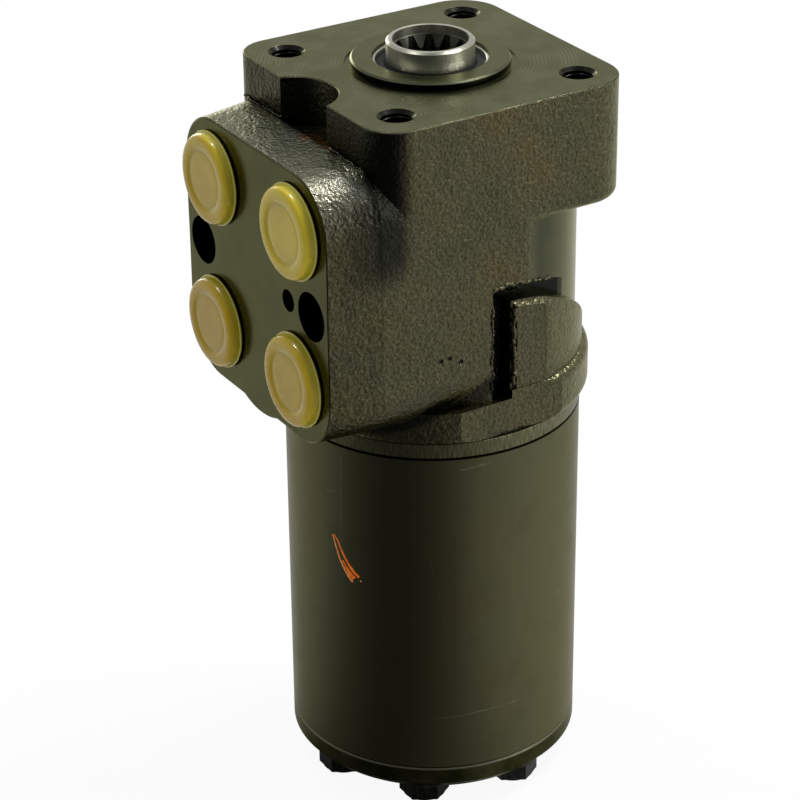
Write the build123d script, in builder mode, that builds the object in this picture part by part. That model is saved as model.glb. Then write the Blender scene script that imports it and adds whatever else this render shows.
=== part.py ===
from build123d import *
import os
from cmath import exp
from math import asin, cos, degrees, pi, radians, sin, sqrt, tan

# Orbital steering unit. The origin is the middle of the mounting face, +Z points out of that
# face along the steering shaft, and the hydraulic ports face -Y. All sizes are in millimetres.

# Fits and clearances
running_gap = 0.03
seat_gap = 0.02
thread_gap = 0.05
loose_gap = 0.3
lobe_gap = 0.07

# Mounting flange
flange_width = 81.6
flange_thickness = 35.2
flange_corner = 10.0
flange_back_corner = 12.4
flange_underside_round = 2.6
edge_break = 0.3
mount_spacing = 58.34
mount_tap_radius = 4.25
mount_mouth = 1.03
mount_depth = 20.0
spigot_radius = 22.34
spigot_height = 2.1
spigot_chamfer = 0.5
spigot_relief_width = 1.7
spigot_relief_depth = 0.4
notch_radius = 13.2
notch_centre = 45.0
step_relief_height = 1.8
step_relief_width = 2.4
step_relief_half_length = 29.0

# Port block
port_face = 57.16
port_half_width = 39.0
block_top = 12.5
block_root_top = 11.5
block_bottom = 91.2
block_corner = 16.0
block_belly_radius = 24.0
block_belly_drop = 1.8
side_wall_end = 3.0
port_pitch = 44.0
port_middle = 51.2
port_tap_radius = 9.35
port_mouth = 1.1
port_depth = 16.0
port_drilling_radius = 4.0
port_drilling_start = 1.0
tap_mouth_angle = 90.0
block_hole_radius = 7.0
block_hole_offset = 30.2
block_hole_depth = 14.0
pilot_hole_radius = 3.23
pilot_hole_offset = 17.9
pilot_hole_depth = 12.0

# Round body with its side pads, and the lower flange
housing_height = 96.7
body_radius = 41.2
pad_half_width = 41.8
pad_radius = 43.4
pad_top = 57.0
pad_arch_radius = 42.0
pad_bevel = 1.6
groove_width = 5.0
groove_front_width = 6.0
groove_depth = 5.0
lower_flange_radius = 45.3
lower_flange_half_width = 42.0
lower_flange_height = 12.8
lower_flange_shoulder = 2.6
lower_flange_foot_radius = 43.3
lower_flange_foot_round = 2.4
lower_flange_front_drop = 2.6

# Bores of the housing
bore_radius = 19.0
bore_top = 13.0
dust_seal_radius = 16.4
dust_seal_seat = 4.0
dust_seal_rim_rise = 0.7
dust_seal_lip_rise = 1.05
dust_seal_lip_drop = 1.3
dust_seal_wall = 1.3
shaft_seal_groove_radius = 15.9
shaft_seal_top = 6.2
shaft_seal_height = 4.0
ring_groove_radius = 22.5
ring_groove_width = 5.0
ring_groove_depths = (34.0, 44.0, 54.0, 71.0)
feed_circle = 26.0
feed_radius = 2.5
feed_window_radius = 2.0
feed_row = 81.0

# Stack of disc, ring and cover under the housing
drum_radius = 43.07
plate_thickness = 5.2
plate_chamfer = 0.5
plate_bore_radius = 10.8
rim_length = 103.8
rim_chamfer = 0.25
cover_thickness = 8.0
cover_top_chamfer = 0.5
cover_foot_chamfer = 2.6

# Cover screws
screw_count = 7
first_screw = -37.2
screw_circle = 32.9
screw_radius = 3.95
screw_hole_radius = 4.4
screw_tap_radius = 3.4
screw_tap_depth = 19.0
screw_end_play = 3.0
screw_head_width = 13.0
screw_head_height = 5.2
screw_head_chamfer = 0.6
washer_radius = 7.6
washer_thickness = 1.0

# Static face seals
face_seal_circle = 39.9
face_seal_section = 0.65

# Gear set: ring lobes, orbiting rotor, its spline
lobe_circle = 34.0
lobe_radius = 7.5
eccentricity = 3.0
lobe_points = 12
rotor_end_gap = 0.03

# Splines of the steering column and of the cardan shaft
spline_teeth = 12
spline_flank = 30.0
spline_root_overlap = 0.6
column_spline_pitch = 9.525
column_spline_minor = 8.75
column_spline_major = 10.3
column_spline_depth = 18.0
column_spline_lead_in = 25.0
cardan_spline_pitch = 9.9
cardan_spline_minor = 9.0
cardan_spline_major = 10.9

# Spool
spool_rise = 7.0
neck_radius = 12.36
neck_clearance = 0.2
collar_opening_radius = 10.69
collar_opening_depth = 2.6
collar_chamfer = 0.6
spool_radius = 13.97
spool_end_gap = 6.5
spool_cavity_radius = 10.7
spool_web = 12.0
spool_slot_count = 6
spool_slot_width = 3.4
spool_slot_depth = 1.2

# Sleeve with its metering holes
sleeve_end_gap = 0.2
sleeve_small_hole = 1.3
sleeve_large_hole = 2.0
sleeve_holes_per_row = 6

# Cross pin and twist between spool and sleeve
pin_radius = 4.0
pin_depth = 62.0
pin_end_gap = 0.3
spool_twist = 10.0

# Centring leaf springs and the ring around them
spring_depth = 25.5
spring_height = 5.8
spring_thickness = 0.5
spring_bow = 0.6
spring_ring_height = 8.0
spring_ring_wall = 1.0

# Axial bearing over the valve set
race_thickness = 1.6
race_inner_radius = 12.75
race_outer_radius = 18.8
needle_radius = 1.0
needle_length = 4.2
needle_count = 20
cage_thickness = 1.2

# Cardan shaft and the spacer under it
fork_radius = 9.4
fork_rise = 9.5
fork_drop = 10.0
fork_slot_gap = 0.12
fork_slot_relief = 0.9
cardan_waist_radius = 6.4
cardan_head_depth = 157.0
cardan_head_length = 14.0
cardan_crown = 0.25
cardan_flank_gap = 0.3
spacer_top_gap = 2.0
spacer_chamfer = 0.6

# Check valve in one of the screw holes
check_ball_radius = 3.0
check_ball_lift = 0.8
check_seat_length = 6.0
check_seat_bore = 1.8
check_seat_mouth = 0.45
check_screw_index = 2
rolled_pin_radius = 1.1
rolled_pin_wall = 0.35
rolled_pin_slot = 0.4
rolled_pin_length = 9.0
rolled_pin_rise = 4.5

# Plastic port caps
cap_lip_radius = 13.6
cap_side_radius = 13.2
cap_front_radius = 12.1
cap_recess_radius = 8.3
cap_stand_off = 0.5
cap_lip_thickness = 0.6
cap_height = 3.9
cap_edge_round = 0.9
cap_recess_depth = 0.5
cap_face_thickness = 1.4
cap_stem_length = 8.0
cap_stem_wall = 1.4
cap_stem_gap = 0.15

# Places that follow from the sizes
flange_half_width = flange_width / 2
housing_foot = -housing_height
plate_foot = housing_foot - plate_thickness
rim_foot = plate_foot - rim_length
cover_foot = rim_foot - cover_thickness
washer_foot = cover_foot - washer_thickness
head_foot = washer_foot - screw_head_height
neck_bore_radius = neck_radius + neck_clearance
pad_centre = -pad_top - pad_arch_radius
leaf_pitch = spring_thickness + seat_gap
spring_window_width = 2 * (3 * leaf_pitch + spring_bow + 3 * seat_gap)
needle_middle = -(bore_top + seat_gap + race_thickness + running_gap + needle_radius)
valve_set_top = needle_middle - needle_radius - race_thickness - 2 * running_gap
sleeve_inner_radius = spool_radius + running_gap
sleeve_radius = bore_radius - running_gap
sleeve_foot = housing_foot + sleeve_end_gap
spool_foot = housing_foot + spool_end_gap
pin_half_length = sqrt((bore_radius - pin_end_gap) ** 2 - pin_radius**2)
pin_hole_in_spool = pin_radius + spool_radius * sin(radians(spool_twist)) + loose_gap
ring_valley_radius = lobe_circle - lobe_radius + 2 * eccentricity + lobe_gap
lobe_direction = Vector(cos(radians(first_screw)), sin(radians(first_screw)), 0)
rotor_centre = lobe_direction * -eccentricity
cardan_length = cardan_head_depth - pin_depth
cardan_tilt = degrees(asin(eccentricity / cardan_length))
screw_end = housing_foot + screw_tap_depth - screw_end_play
check_angle = radians(first_screw + check_screw_index * 360 / screw_count)
check_place = Vector(screw_circle * cos(check_angle), screw_circle * sin(check_angle), 0)
rolled_pin_tip = screw_end + rolled_pin_rise
check_ball_centre = rolled_pin_tip + loose_gap + check_ball_radius
check_seat_foot = check_ball_centre + check_ball_radius + check_ball_lift + loose_gap
check_hole_top = check_seat_foot + check_seat_length
port_rows = (-port_middle + port_pitch / 2, -port_middle - port_pitch / 2)
port_plane = Plane.XZ.offset(port_face)

os.makedirs("parts", exist_ok=True)


# Outline of the port block in front view, with round corners and a shallow belly below
def block_outline(half_width, top, bottom):
    with BuildSketch() as outline:
        with Locations((0, -(top + bottom) / 2)):
            Rectangle(2 * half_width, bottom - top)
        fillet(outline.vertices(), block_corner)
        with Locations((0, -bottom - block_belly_drop + block_belly_radius)):
            Circle(block_belly_radius)
    return outline.sketch


# Round opening with the spaces of a straight-flanked internal spline around it
def spline_opening(minor_radius, major_radius, pitch_radius, flank_gap):
    slope = tan(radians(spline_flank))
    half_space = pi * pitch_radius / (2 * spline_teeth) + flank_gap
    inner = minor_radius - spline_root_overlap
    inner_half = half_space + (pitch_radius - inner) * slope
    outer_half = half_space - (major_radius - pitch_radius) * slope
    corners = (
        (inner, -inner_half),
        (major_radius, -outer_half),
        (major_radius, outer_half),
        (inner, inner_half),
    )
    with BuildSketch() as opening:
        Circle(minor_radius)
        with PolarLocations(0, spline_teeth):
            Polygon(*corners, align=None)
    return opening.sketch


# Point on the rotor's outline, which is the path of a ring lobe's centre moved in by its radius
def rotor_point(turn):
    path = lobe_circle * exp(1j * turn) + eccentricity * exp(1j * screw_count * turn)
    heading = lobe_circle * exp(1j * turn) + screw_count * eccentricity * exp(1j * screw_count * turn)
    edge = path - (lobe_radius + lobe_gap) * heading / abs(heading)
    return (edge.real, edge.imag)


# Side pads: flat on the outside, arched along their upper edge and bevelled towards their groove
with BuildSketch() as pad_profile:
    with Locations((0, pad_centre)):
        Circle(pad_arch_radius)
        Rectangle(pad_arch_radius, pad_arch_radius, align=Align.MIN, mode=Mode.INTERSECT)

with BuildPart() as side_pads:
    with BuildSketch(Plane.YZ):
        add(pad_profile.sketch)
    extrude(amount=pad_half_width, both=True)
    outer_edges = side_pads.faces().filter_by(Axis.X).edges()
    chamfer(outer_edges.filter_by(GeomType.CIRCLE) + outer_edges.filter_by(Axis.Z), pad_bevel)
    with BuildSketch(Plane.XY.offset(housing_foot)):
        Circle(pad_radius)
    extrude(amount=housing_height, mode=Mode.INTERSECT)

# Lower flange: a rounded rim with two flat sides, lower in front of the pads than behind
with BuildPart() as lower_flange:
    with BuildSketch(Plane.XZ):
        with BuildLine():
            shoulder_height = housing_foot + lower_flange_height
            belly = (lower_flange_radius, shoulder_height - lower_flange_shoulder)
            Polyline(
                (lower_flange_foot_radius, housing_foot),
                (0, housing_foot),
                (0, shoulder_height),
                (lower_flange_radius - lower_flange_shoulder, shoulder_height),
            )
            RadiusArc(
                (lower_flange_radius - lower_flange_shoulder, shoulder_height),
                belly,
                lower_flange_shoulder,
            )
            belly_foot = (lower_flange_radius, housing_foot + lower_flange_foot_round)
            Line(belly, belly_foot)
            TangentArc(belly_foot, (lower_flange_foot_radius, housing_foot), tangent=(0, -1))
        make_face()
    revolve(axis=Axis.Z)
    with BuildSketch(Plane.XY.offset(housing_foot)):
        Rectangle(2 * lower_flange_half_width, 2 * lower_flange_radius)
    extrude(amount=lower_flange_height, mode=Mode.INTERSECT)
    with BuildSketch(Plane.XY.offset(shoulder_height)):
        Rectangle(3 * body_radius, 2 * body_radius, align=(Align.CENTER, Align.MAX))
    extrude(amount=-lower_flange_front_drop, mode=Mode.SUBTRACT)

# Housing: one casting with flange, port block, round body and lower flange
with BuildPart() as housing:
    with BuildSketch() as flange_outline:
        Rectangle(flange_width, flange_width)
        fillet(flange_outline.vertices().group_by(Axis.Y)[0], flange_corner)
        fillet(flange_outline.vertices().group_by(Axis.Y)[-1], flange_back_corner)
    extrude(amount=-flange_thickness)
    fillet(housing.edges().group_by(Axis.Z)[0], flange_underside_round)
    with BuildSketch(Plane.XY.offset(housing_foot)):
        Circle(body_radius)
        Rectangle(flange_width, flange_width, mode=Mode.INTERSECT)
    extrude(amount=housing_height - flange_thickness / 2)
    with BuildSketch(port_plane):
        add(block_outline(port_half_width, block_top, block_bottom))
    with BuildSketch(Plane.XZ.offset(flange_half_width)):
        add(block_outline(flange_half_width, block_root_top, block_bottom))
    loft()
    with BuildSketch(Plane.XZ.offset(side_wall_end)):
        add(block_outline(flange_half_width, block_root_top, block_bottom))
    extrude(amount=flange_half_width - side_wall_end)
    add(side_pads.part)
    add(lower_flange.part)
    # Groove that frames each pad, above it and at its front end
    for side in (-1, 1):
        with BuildSketch(Plane.YZ.offset(side * (flange_half_width + groove_depth))):
            with Locations((0, pad_centre)):
                Circle(pad_arch_radius + groove_width)
            with Locations((-groove_front_width, shoulder_height - lower_flange_front_drop)):
                Rectangle(2 * body_radius, housing_height, align=Align.MIN, mode=Mode.INTERSECT)
            add(pad_profile.sketch, mode=Mode.SUBTRACT)
        extrude(amount=-2 * side * groove_depth, mode=Mode.SUBTRACT)
    # Notch in the flange's front edge, and the relief at the foot of the flange's front wall
    with BuildSketch(Plane.XY.offset(-block_root_top)):
        with Locations((0, -notch_centre)):
            Circle(notch_radius)
    extrude(amount=block_root_top, mode=Mode.SUBTRACT)
    with BuildSketch(Plane.XY.offset(-block_root_top)):
        with Locations((0, -flange_half_width)):
            Rectangle(2 * step_relief_half_length, step_relief_width)
        with Locations((0, -notch_centre)):
            Circle(notch_radius + step_relief_width / 2)
        with Locations((0, -flange_half_width - step_relief_width / 2)):
            Rectangle(
                4 * notch_radius,
                2 * notch_radius,
                align=(Align.CENTER, Align.MAX),
                mode=Mode.SUBTRACT,
            )
    extrude(amount=-step_relief_height, mode=Mode.SUBTRACT)
    # Broken edges around the mounting face and the port face
    chamfer(housing.faces().sort_by(Axis.Z)[-1].outer_wire().edges(), edge_break)
    chamfer(housing.faces().sort_by(Axis.Y)[0].outer_wire().edges(), edge_break)
    # Pilot spigot with the shallow relief turned around it
    with BuildSketch():
        Circle(spigot_radius + spigot_relief_width)
        Circle(spigot_radius, mode=Mode.SUBTRACT)
    extrude(amount=-spigot_relief_depth, mode=Mode.SUBTRACT)
    with BuildSketch():
        Circle(spigot_radius)
    extrude(amount=spigot_height)
    chamfer(housing.edges().group_by(Axis.Z)[-1], spigot_chamfer)
    # Stepped bore for seals, bearing and valve set, with the port grooves around it
    bore_steps = [
        (spigot_height, -dust_seal_seat, dust_seal_radius),
        (-dust_seal_seat, -bore_top, neck_bore_radius),
        (-shaft_seal_top, -shaft_seal_top - shaft_seal_height, shaft_seal_groove_radius),
        (-bore_top, housing_foot, bore_radius),
    ]
    for groove in ring_groove_depths:
        groove_top = -groove + ring_groove_width / 2
        bore_steps.append((groove_top, groove_top - ring_groove_width, ring_groove_radius))
    for step_top, step_foot, step_radius in bore_steps:
        with BuildSketch(Plane.XY.offset(step_foot)):
            Circle(step_radius)
        extrude(amount=step_top - step_foot, mode=Mode.SUBTRACT)
    # Tapped holes of the mounting face and of the port face
    with Locations(Plane.XY):
        with GridLocations(mount_spacing, mount_spacing, 2, 2):
            CounterSinkHole(mount_tap_radius, mount_tap_radius + mount_mouth, mount_depth, tap_mouth_angle)
    with Locations(Plane((0, -port_face, -port_middle), x_dir=(1, 0, 0), z_dir=(0, -1, 0))):
        with GridLocations(port_pitch, port_pitch, 2, 2):
            CounterSinkHole(port_tap_radius, port_tap_radius + port_mouth, port_depth, tap_mouth_angle)
    with BuildSketch(port_plane):
        with Locations((0, -port_middle)):
            with GridLocations(2 * block_hole_offset, 0, 2, 1):
                Circle(block_hole_radius)
    extrude(amount=-block_hole_depth, mode=Mode.SUBTRACT)
    with BuildSketch(port_plane):
        with Locations((pilot_hole_offset, -port_middle)):
            Circle(pilot_hole_radius)
    extrude(amount=-pilot_hole_depth, mode=Mode.SUBTRACT)
    # Drillings from each port to its own groove
    port_bottom = -port_face + port_depth - port_drilling_start
    for port_number, groove in enumerate(ring_groove_depths):
        port_side = (-1) ** port_number
        start = Vector(port_side * port_pitch / 2, port_bottom, port_rows[port_number // 2])
        end_x = port_side * (port_pitch - port_drilling_radius) / 2
        end = Vector(end_x, -bore_radius / 2, -groove)
        with BuildSketch(Plane(origin=start, z_dir=end - start)):
            Circle(port_drilling_radius)
        extrude(amount=(end - start).length, mode=Mode.SUBTRACT)
    # Feed drillings to the gear set and their row of openings in the bore
    with BuildSketch(Plane.XY.offset(housing_foot)):
        with PolarLocations(feed_circle, screw_count, first_screw + 180 / screw_count):
            Circle(feed_radius)
    extrude(amount=housing_height - feed_row + feed_radius, mode=Mode.SUBTRACT)
    for feed in range(screw_count):
        feed_angle = radians(first_screw + (feed + 0.5) * 360 / screw_count)
        outward = Vector(cos(feed_angle), sin(feed_angle), 0)
        start = outward * (bore_radius / 2) + Vector(0, 0, -feed_row)
        with BuildSketch(Plane(origin=start, z_dir=outward)):
            Circle(feed_window_radius)
        extrude(amount=feed_circle - bore_radius / 2, mode=Mode.SUBTRACT)
    # Tapped holes for the cover screws, the check valve's hole, and the face seal's groove
    with BuildSketch(Plane.XY.offset(housing_foot)):
        with PolarLocations(screw_circle, screw_count, first_screw):
            Circle(screw_tap_radius)
    extrude(amount=screw_tap_depth, mode=Mode.SUBTRACT)
    with BuildSketch(Plane(origin=check_place + Vector(0, 0, housing_foot))):
        Circle(screw_tap_radius)
    extrude(amount=check_hole_top - housing_foot, mode=Mode.SUBTRACT)
    with BuildSketch(Plane.XY.offset(housing_foot)):
        Circle(face_seal_circle + face_seal_section + seat_gap)
        Circle(face_seal_circle - face_seal_section - seat_gap, mode=Mode.SUBTRACT)
    extrude(amount=2 * face_seal_section, mode=Mode.SUBTRACT)
housing.part.label = "housing"
export_step(housing.part, "parts/housing.step")

# Dust seal: a stiff outer ring with a lip against the spool's neck
with BuildPart() as dust_seal:
    with BuildSketch(Plane.XZ):
        with BuildLine():
            seal_outer = dust_seal_radius - seat_gap
            seal_lip = neck_radius + running_gap
            seal_foot = -dust_seal_seat + seat_gap
            Polyline(
                (seal_outer, seal_foot),
                (seal_outer, dust_seal_rim_rise),
                (seal_outer - dust_seal_wall / 2, dust_seal_lip_rise),
                (seal_outer - dust_seal_wall, 0),
                (seal_lip + dust_seal_wall / 2, 0),
                (seal_lip, dust_seal_lip_rise),
                (seal_lip, -dust_seal_lip_drop),
                (seal_lip + dust_seal_wall / 2, seal_foot),
                close=True,
            )
        make_face()
    revolve(axis=Axis.Z)
dust_seal.part.label = "dust_seal"
export_step(dust_seal.part, "parts/dust_seal.step")

# Shaft seal: a slide ring on the neck, pressed in by a rubber ring around it
slide_ring_outer = (neck_radius + shaft_seal_groove_radius) / 2
energiser_circle = (slide_ring_outer + shaft_seal_groove_radius) / 2
with BuildPart() as shaft_seal:
    with BuildSketch(Plane.XY.offset(-shaft_seal_top - shaft_seal_height + seat_gap)):
        Circle(slide_ring_outer)
        Circle(neck_radius + running_gap, mode=Mode.SUBTRACT)
    extrude(amount=shaft_seal_height - 2 * seat_gap)
shaft_seal.part.label = "shaft_seal"
export_step(shaft_seal.part, "parts/shaft_seal.step")

with BuildPart() as seal_energiser:
    with BuildSketch(Plane.XZ):
        with Locations((energiser_circle, -shaft_seal_top - shaft_seal_height / 2)):
            Circle(energiser_circle - slide_ring_outer - seat_gap)
    revolve(axis=Axis.Z)
seal_energiser.part.label = "seal_energiser"
export_step(seal_energiser.part, "parts/seal_energiser.step")

# Axial bearing: two races and a cage of needles between them
race_heights = {
    "bearing_upper_race": needle_middle + needle_radius + running_gap,
    "bearing_lower_race": needle_middle - needle_radius - running_gap - race_thickness,
}
for race_name, race_foot in race_heights.items():
    with BuildPart() as bearing_race:
        with BuildSketch(Plane.XY.offset(race_foot)):
            Circle(race_outer_radius)
            Circle(race_inner_radius, mode=Mode.SUBTRACT)
        extrude(amount=race_thickness)
    bearing_race.part.label = race_name
    export_step(bearing_race.part, f"parts/{race_name}.step")

needle_circle = (race_inner_radius + race_outer_radius) / 2
with BuildPart() as bearing_cage:
    with BuildSketch(Plane.XY.offset(needle_middle - cage_thickness / 2)):
        Circle(race_outer_radius)
        Circle(race_inner_radius, mode=Mode.SUBTRACT)
        with PolarLocations(needle_circle, needle_count):
            Rectangle(
                needle_length + 2 * running_gap,
                2 * (needle_radius + running_gap),
                mode=Mode.SUBTRACT,
            )
    extrude(amount=cage_thickness)
bearing_cage.part.label = "bearing_cage"
export_step(bearing_cage.part, "parts/bearing_cage.step")

with BuildPart() as bearing_needles:
    for needle in range(needle_count):
        outward = Vector(1, 0, 0).rotate(Axis.Z, needle * 360 / needle_count)
        start = outward * (needle_circle - needle_length / 2) + Vector(0, 0, needle_middle)
        with BuildSketch(Plane(origin=start, z_dir=outward)):
            Circle(needle_radius)
        extrude(amount=needle_length)
bearing_needles.part.label = "bearing_needles"
export_step(bearing_needles.part, "parts/bearing_needles.step")

# Sleeve around the spool, with its metering holes, pin holes and spring windows
sleeve_recess_radius = sleeve_radius - spring_ring_wall
with BuildPart() as sleeve:
    with BuildSketch(Plane.XY.offset(sleeve_foot)):
        Circle(sleeve_radius)
        Circle(sleeve_inner_radius, mode=Mode.SUBTRACT)
    extrude(amount=valve_set_top - sleeve_foot)
    with BuildSketch(Plane.XY.offset(-spring_depth - spring_ring_height / 2)):
        Circle(sleeve_radius)
        Circle(sleeve_recess_radius, mode=Mode.SUBTRACT)
    extrude(amount=spring_ring_height, mode=Mode.SUBTRACT)
    with BuildSketch(Plane.YZ):
        with Locations((0, -spring_depth)):
            Rectangle(spring_window_width, spring_height + 2 * loose_gap)
    extrude(amount=sleeve_radius, both=True, mode=Mode.SUBTRACT)
    with BuildSketch(Plane.YZ):
        with Locations((0, -pin_depth)):
            Circle(pin_radius + running_gap)
    extrude(amount=sleeve_radius, both=True, mode=Mode.SUBTRACT)
    hole_rows = []
    for row, groove in enumerate(ring_groove_depths[:3]):
        hole_rows.append((groove, sleeve_large_hole, (row + 0.5) * 180 / sleeve_holes_per_row))
    hole_rows.append((feed_row, sleeve_small_hole, 0))
    hole_rows.append((feed_row, sleeve_small_hole, 180 / sleeve_holes_per_row))
    for hole_depth, hole_radius, hole_start in hole_rows:
        for hole in range(sleeve_holes_per_row):
            outward = Vector(1, 0, 0).rotate(Axis.Z, hole_start + hole * 360 / sleeve_holes_per_row)
            start = outward * (spool_radius / 2) + Vector(0, 0, -hole_depth)
            with BuildSketch(Plane(origin=start, z_dir=outward)):
                Circle(hole_radius)
            extrude(amount=sleeve_radius, mode=Mode.SUBTRACT)
sleeve.part.label = "sleeve"
export_step(sleeve.part, "parts/sleeve.step")

with BuildPart() as spring_ring:
    with BuildSketch(Plane.XY.offset(-spring_depth - spring_ring_height / 2 + seat_gap)):
        Circle(sleeve_radius - running_gap)
        Circle(sleeve_recess_radius + seat_gap, mode=Mode.SUBTRACT)
    extrude(amount=spring_ring_height - 2 * seat_gap)
spring_ring.part.label = "spring_ring"
export_step(spring_ring.part, "parts/spring_ring.step")

# Centring springs: two flat leaves in the middle, two bowed ones on each side of them
with BuildPart() as centring_springs:
    leaf_reach = sleeve_recess_radius - loose_gap
    with BuildSketch(Plane.XY.offset(-spring_depth - spring_height / 2)):
        with GridLocations(0, leaf_pitch, 1, 2):
            Rectangle(2 * leaf_reach, spring_thickness)
        for side in (-1, 1):
            for leaf in (1, 2):
                near = side * (leaf * leaf_pitch + seat_gap)
                far = near + side * spring_thickness
                bow = side * spring_bow
                with BuildLine():
                    near_arc = ThreePointArc((-leaf_reach, near + bow), (0, near), (leaf_reach, near + bow))
                    far_arc = ThreePointArc((-leaf_reach, far + bow), (0, far), (leaf_reach, far + bow))
                    Line(near_arc @ 0, far_arc @ 0)
                    Line(near_arc @ 1, far_arc @ 1)
                make_face()
    extrude(amount=spring_height)
centring_springs.part.label = "centring_springs"
export_step(centring_springs.part, "parts/centring_springs.step")

# Cross pin through sleeve, spool and cardan fork
with BuildPart() as cross_pin:
    with BuildSketch(Plane.YZ):
        with Locations((0, -pin_depth)):
            Circle(pin_radius)
    extrude(amount=pin_half_length, both=True)
cross_pin.part.label = "cross_pin"
export_step(cross_pin.part, "parts/cross_pin.step")

# Spool: splined neck for the steering column above, hollow valve body below
with BuildPart() as spool:
    with BuildSketch(Plane.XY.offset(spool_foot)):
        Circle(spool_radius)
    extrude(amount=valve_set_top - running_gap - spool_foot)
    with BuildSketch(Plane.XY.offset(valve_set_top - running_gap)):
        Circle(neck_radius)
    extrude(amount=spool_rise - valve_set_top + running_gap)
    chamfer(spool.edges().group_by(Axis.Z)[-1], collar_chamfer)
    with BuildSketch(Plane.XY.offset(spool_rise - collar_opening_depth)):
        Circle(collar_opening_radius)
    extrude(amount=collar_opening_depth, mode=Mode.SUBTRACT)
    with BuildSketch(Plane.XY.offset(-column_spline_depth)):
        add(spline_opening(column_spline_minor, column_spline_major, column_spline_pitch, 0))
    extrude(amount=column_spline_depth + spool_rise - collar_opening_depth, mode=Mode.SUBTRACT)
    # Cone that leads the steering column into the spline
    with BuildSketch(Plane.XZ):
        lead_in_top = spool_rise - collar_opening_depth
        lead_in_tip = lead_in_top - column_spline_major / tan(radians(column_spline_lead_in))
        Polygon(
            (0, lead_in_tip),
            (column_spline_major, lead_in_top),
            (0, lead_in_top),
            align=None,
        )
    revolve(axis=Axis.Z, mode=Mode.SUBTRACT)
    with BuildSketch(Plane.XY.offset(spool_foot)):
        Circle(spool_cavity_radius)
    extrude(amount=-column_spline_depth - spool_web - spool_foot, mode=Mode.SUBTRACT)
    with BuildSketch(Plane.YZ):
        with Locations((0, -spring_depth)):
            Rectangle(spring_window_width, spring_height + 2 * loose_gap)
    extrude(amount=spool_radius, both=True, mode=Mode.SUBTRACT)
    with BuildSketch(Plane.YZ):
        with Locations((0, -pin_depth)):
            Circle(pin_hole_in_spool)
    extrude(amount=spool_radius, both=True, mode=Mode.SUBTRACT)
    slot_top = -ring_groove_depths[0] + ring_groove_width / 2
    slot_foot = -ring_groove_depths[2] + ring_groove_width / 2
    with BuildSketch(Plane.XY.offset(slot_foot)):
        with PolarLocations(spool_radius, spool_slot_count):
            Rectangle(2 * spool_slot_depth, spool_slot_width)
    extrude(amount=slot_top - slot_foot, mode=Mode.SUBTRACT)
spool.part.label = "spool"
export_step(spool.part, "parts/spool.step")

# Distributor plate with its seven feed slots
with BuildPart() as distributor_plate:
    with BuildSketch(Plane.XY.offset(plate_foot)):
        Circle(drum_radius)
    extrude(amount=plate_thickness)
    chamfer(distributor_plate.edges(), plate_chamfer)
    with BuildSketch(Plane.XY.offset(plate_foot)):
        Circle(plate_bore_radius)
        with PolarLocations(screw_circle, screw_count, first_screw):
            Circle(screw_hole_radius)
        with PolarLocations(feed_circle + feed_radius / 2, screw_count, first_screw + 180 / screw_count):
            SlotOverall(3 * feed_radius, 2 * feed_radius)
    extrude(amount=plate_thickness, mode=Mode.SUBTRACT)
distributor_plate.part.label = "distributor_plate"
export_step(distributor_plate.part, "parts/distributor_plate.step")

# Gear rim: plain drum outside, seven round lobes inside, seals let into both ends
with BuildPart() as gear_rim:
    with BuildSketch(Plane.XY.offset(rim_foot)):
        Circle(drum_radius)
    extrude(amount=rim_length)
    chamfer(gear_rim.edges(), rim_chamfer)
    with BuildSketch(Plane.XY.offset(rim_foot)):
        Circle(ring_valley_radius)
        with PolarLocations(lobe_circle, screw_count, first_screw):
            Circle(lobe_radius, mode=Mode.SUBTRACT)
        with PolarLocations(screw_circle, screw_count, first_screw):
            Circle(screw_hole_radius)
    extrude(amount=rim_length, mode=Mode.SUBTRACT)
    for groove_foot in (rim_foot, plate_foot - 2 * face_seal_section):
        with BuildSketch(Plane.XY.offset(groove_foot)):
            Circle(face_seal_circle + face_seal_section + seat_gap)
            Circle(face_seal_circle - face_seal_section - seat_gap, mode=Mode.SUBTRACT)
        extrude(amount=2 * face_seal_section, mode=Mode.SUBTRACT)
gear_rim.part.label = "gear_rim"
export_step(gear_rim.part, "parts/gear_rim.step")

# End cover
with BuildPart() as end_cover:
    with BuildSketch(Plane.XY.offset(cover_foot)):
        Circle(drum_radius)
    extrude(amount=cover_thickness)
    chamfer(end_cover.edges().group_by(Axis.Z)[-1], cover_top_chamfer)
    chamfer(end_cover.edges().group_by(Axis.Z)[0], cover_foot_chamfer)
    with BuildSketch(Plane.XY.offset(cover_foot)):
        with PolarLocations(screw_circle, screw_count, first_screw):
            Circle(screw_hole_radius)
    extrude(amount=cover_thickness, mode=Mode.SUBTRACT)
end_cover.part.label = "end_cover"
export_step(end_cover.part, "parts/end_cover.step")

# Rubber rings let into the faces of the stack
seal_heights = {
    "housing_seal": housing_foot + face_seal_section,
    "plate_seal": plate_foot - face_seal_section,
    "cover_seal": rim_foot + face_seal_section,
}
for seal_name, seal_height in seal_heights.items():
    with BuildPart() as face_seal:
        with BuildSketch(Plane.XZ):
            with Locations((face_seal_circle, seal_height)):
                Circle(face_seal_section - seat_gap)
        revolve(axis=Axis.Z)
    face_seal.part.label = seal_name
    export_step(face_seal.part, f"parts/{seal_name}.step")

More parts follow.
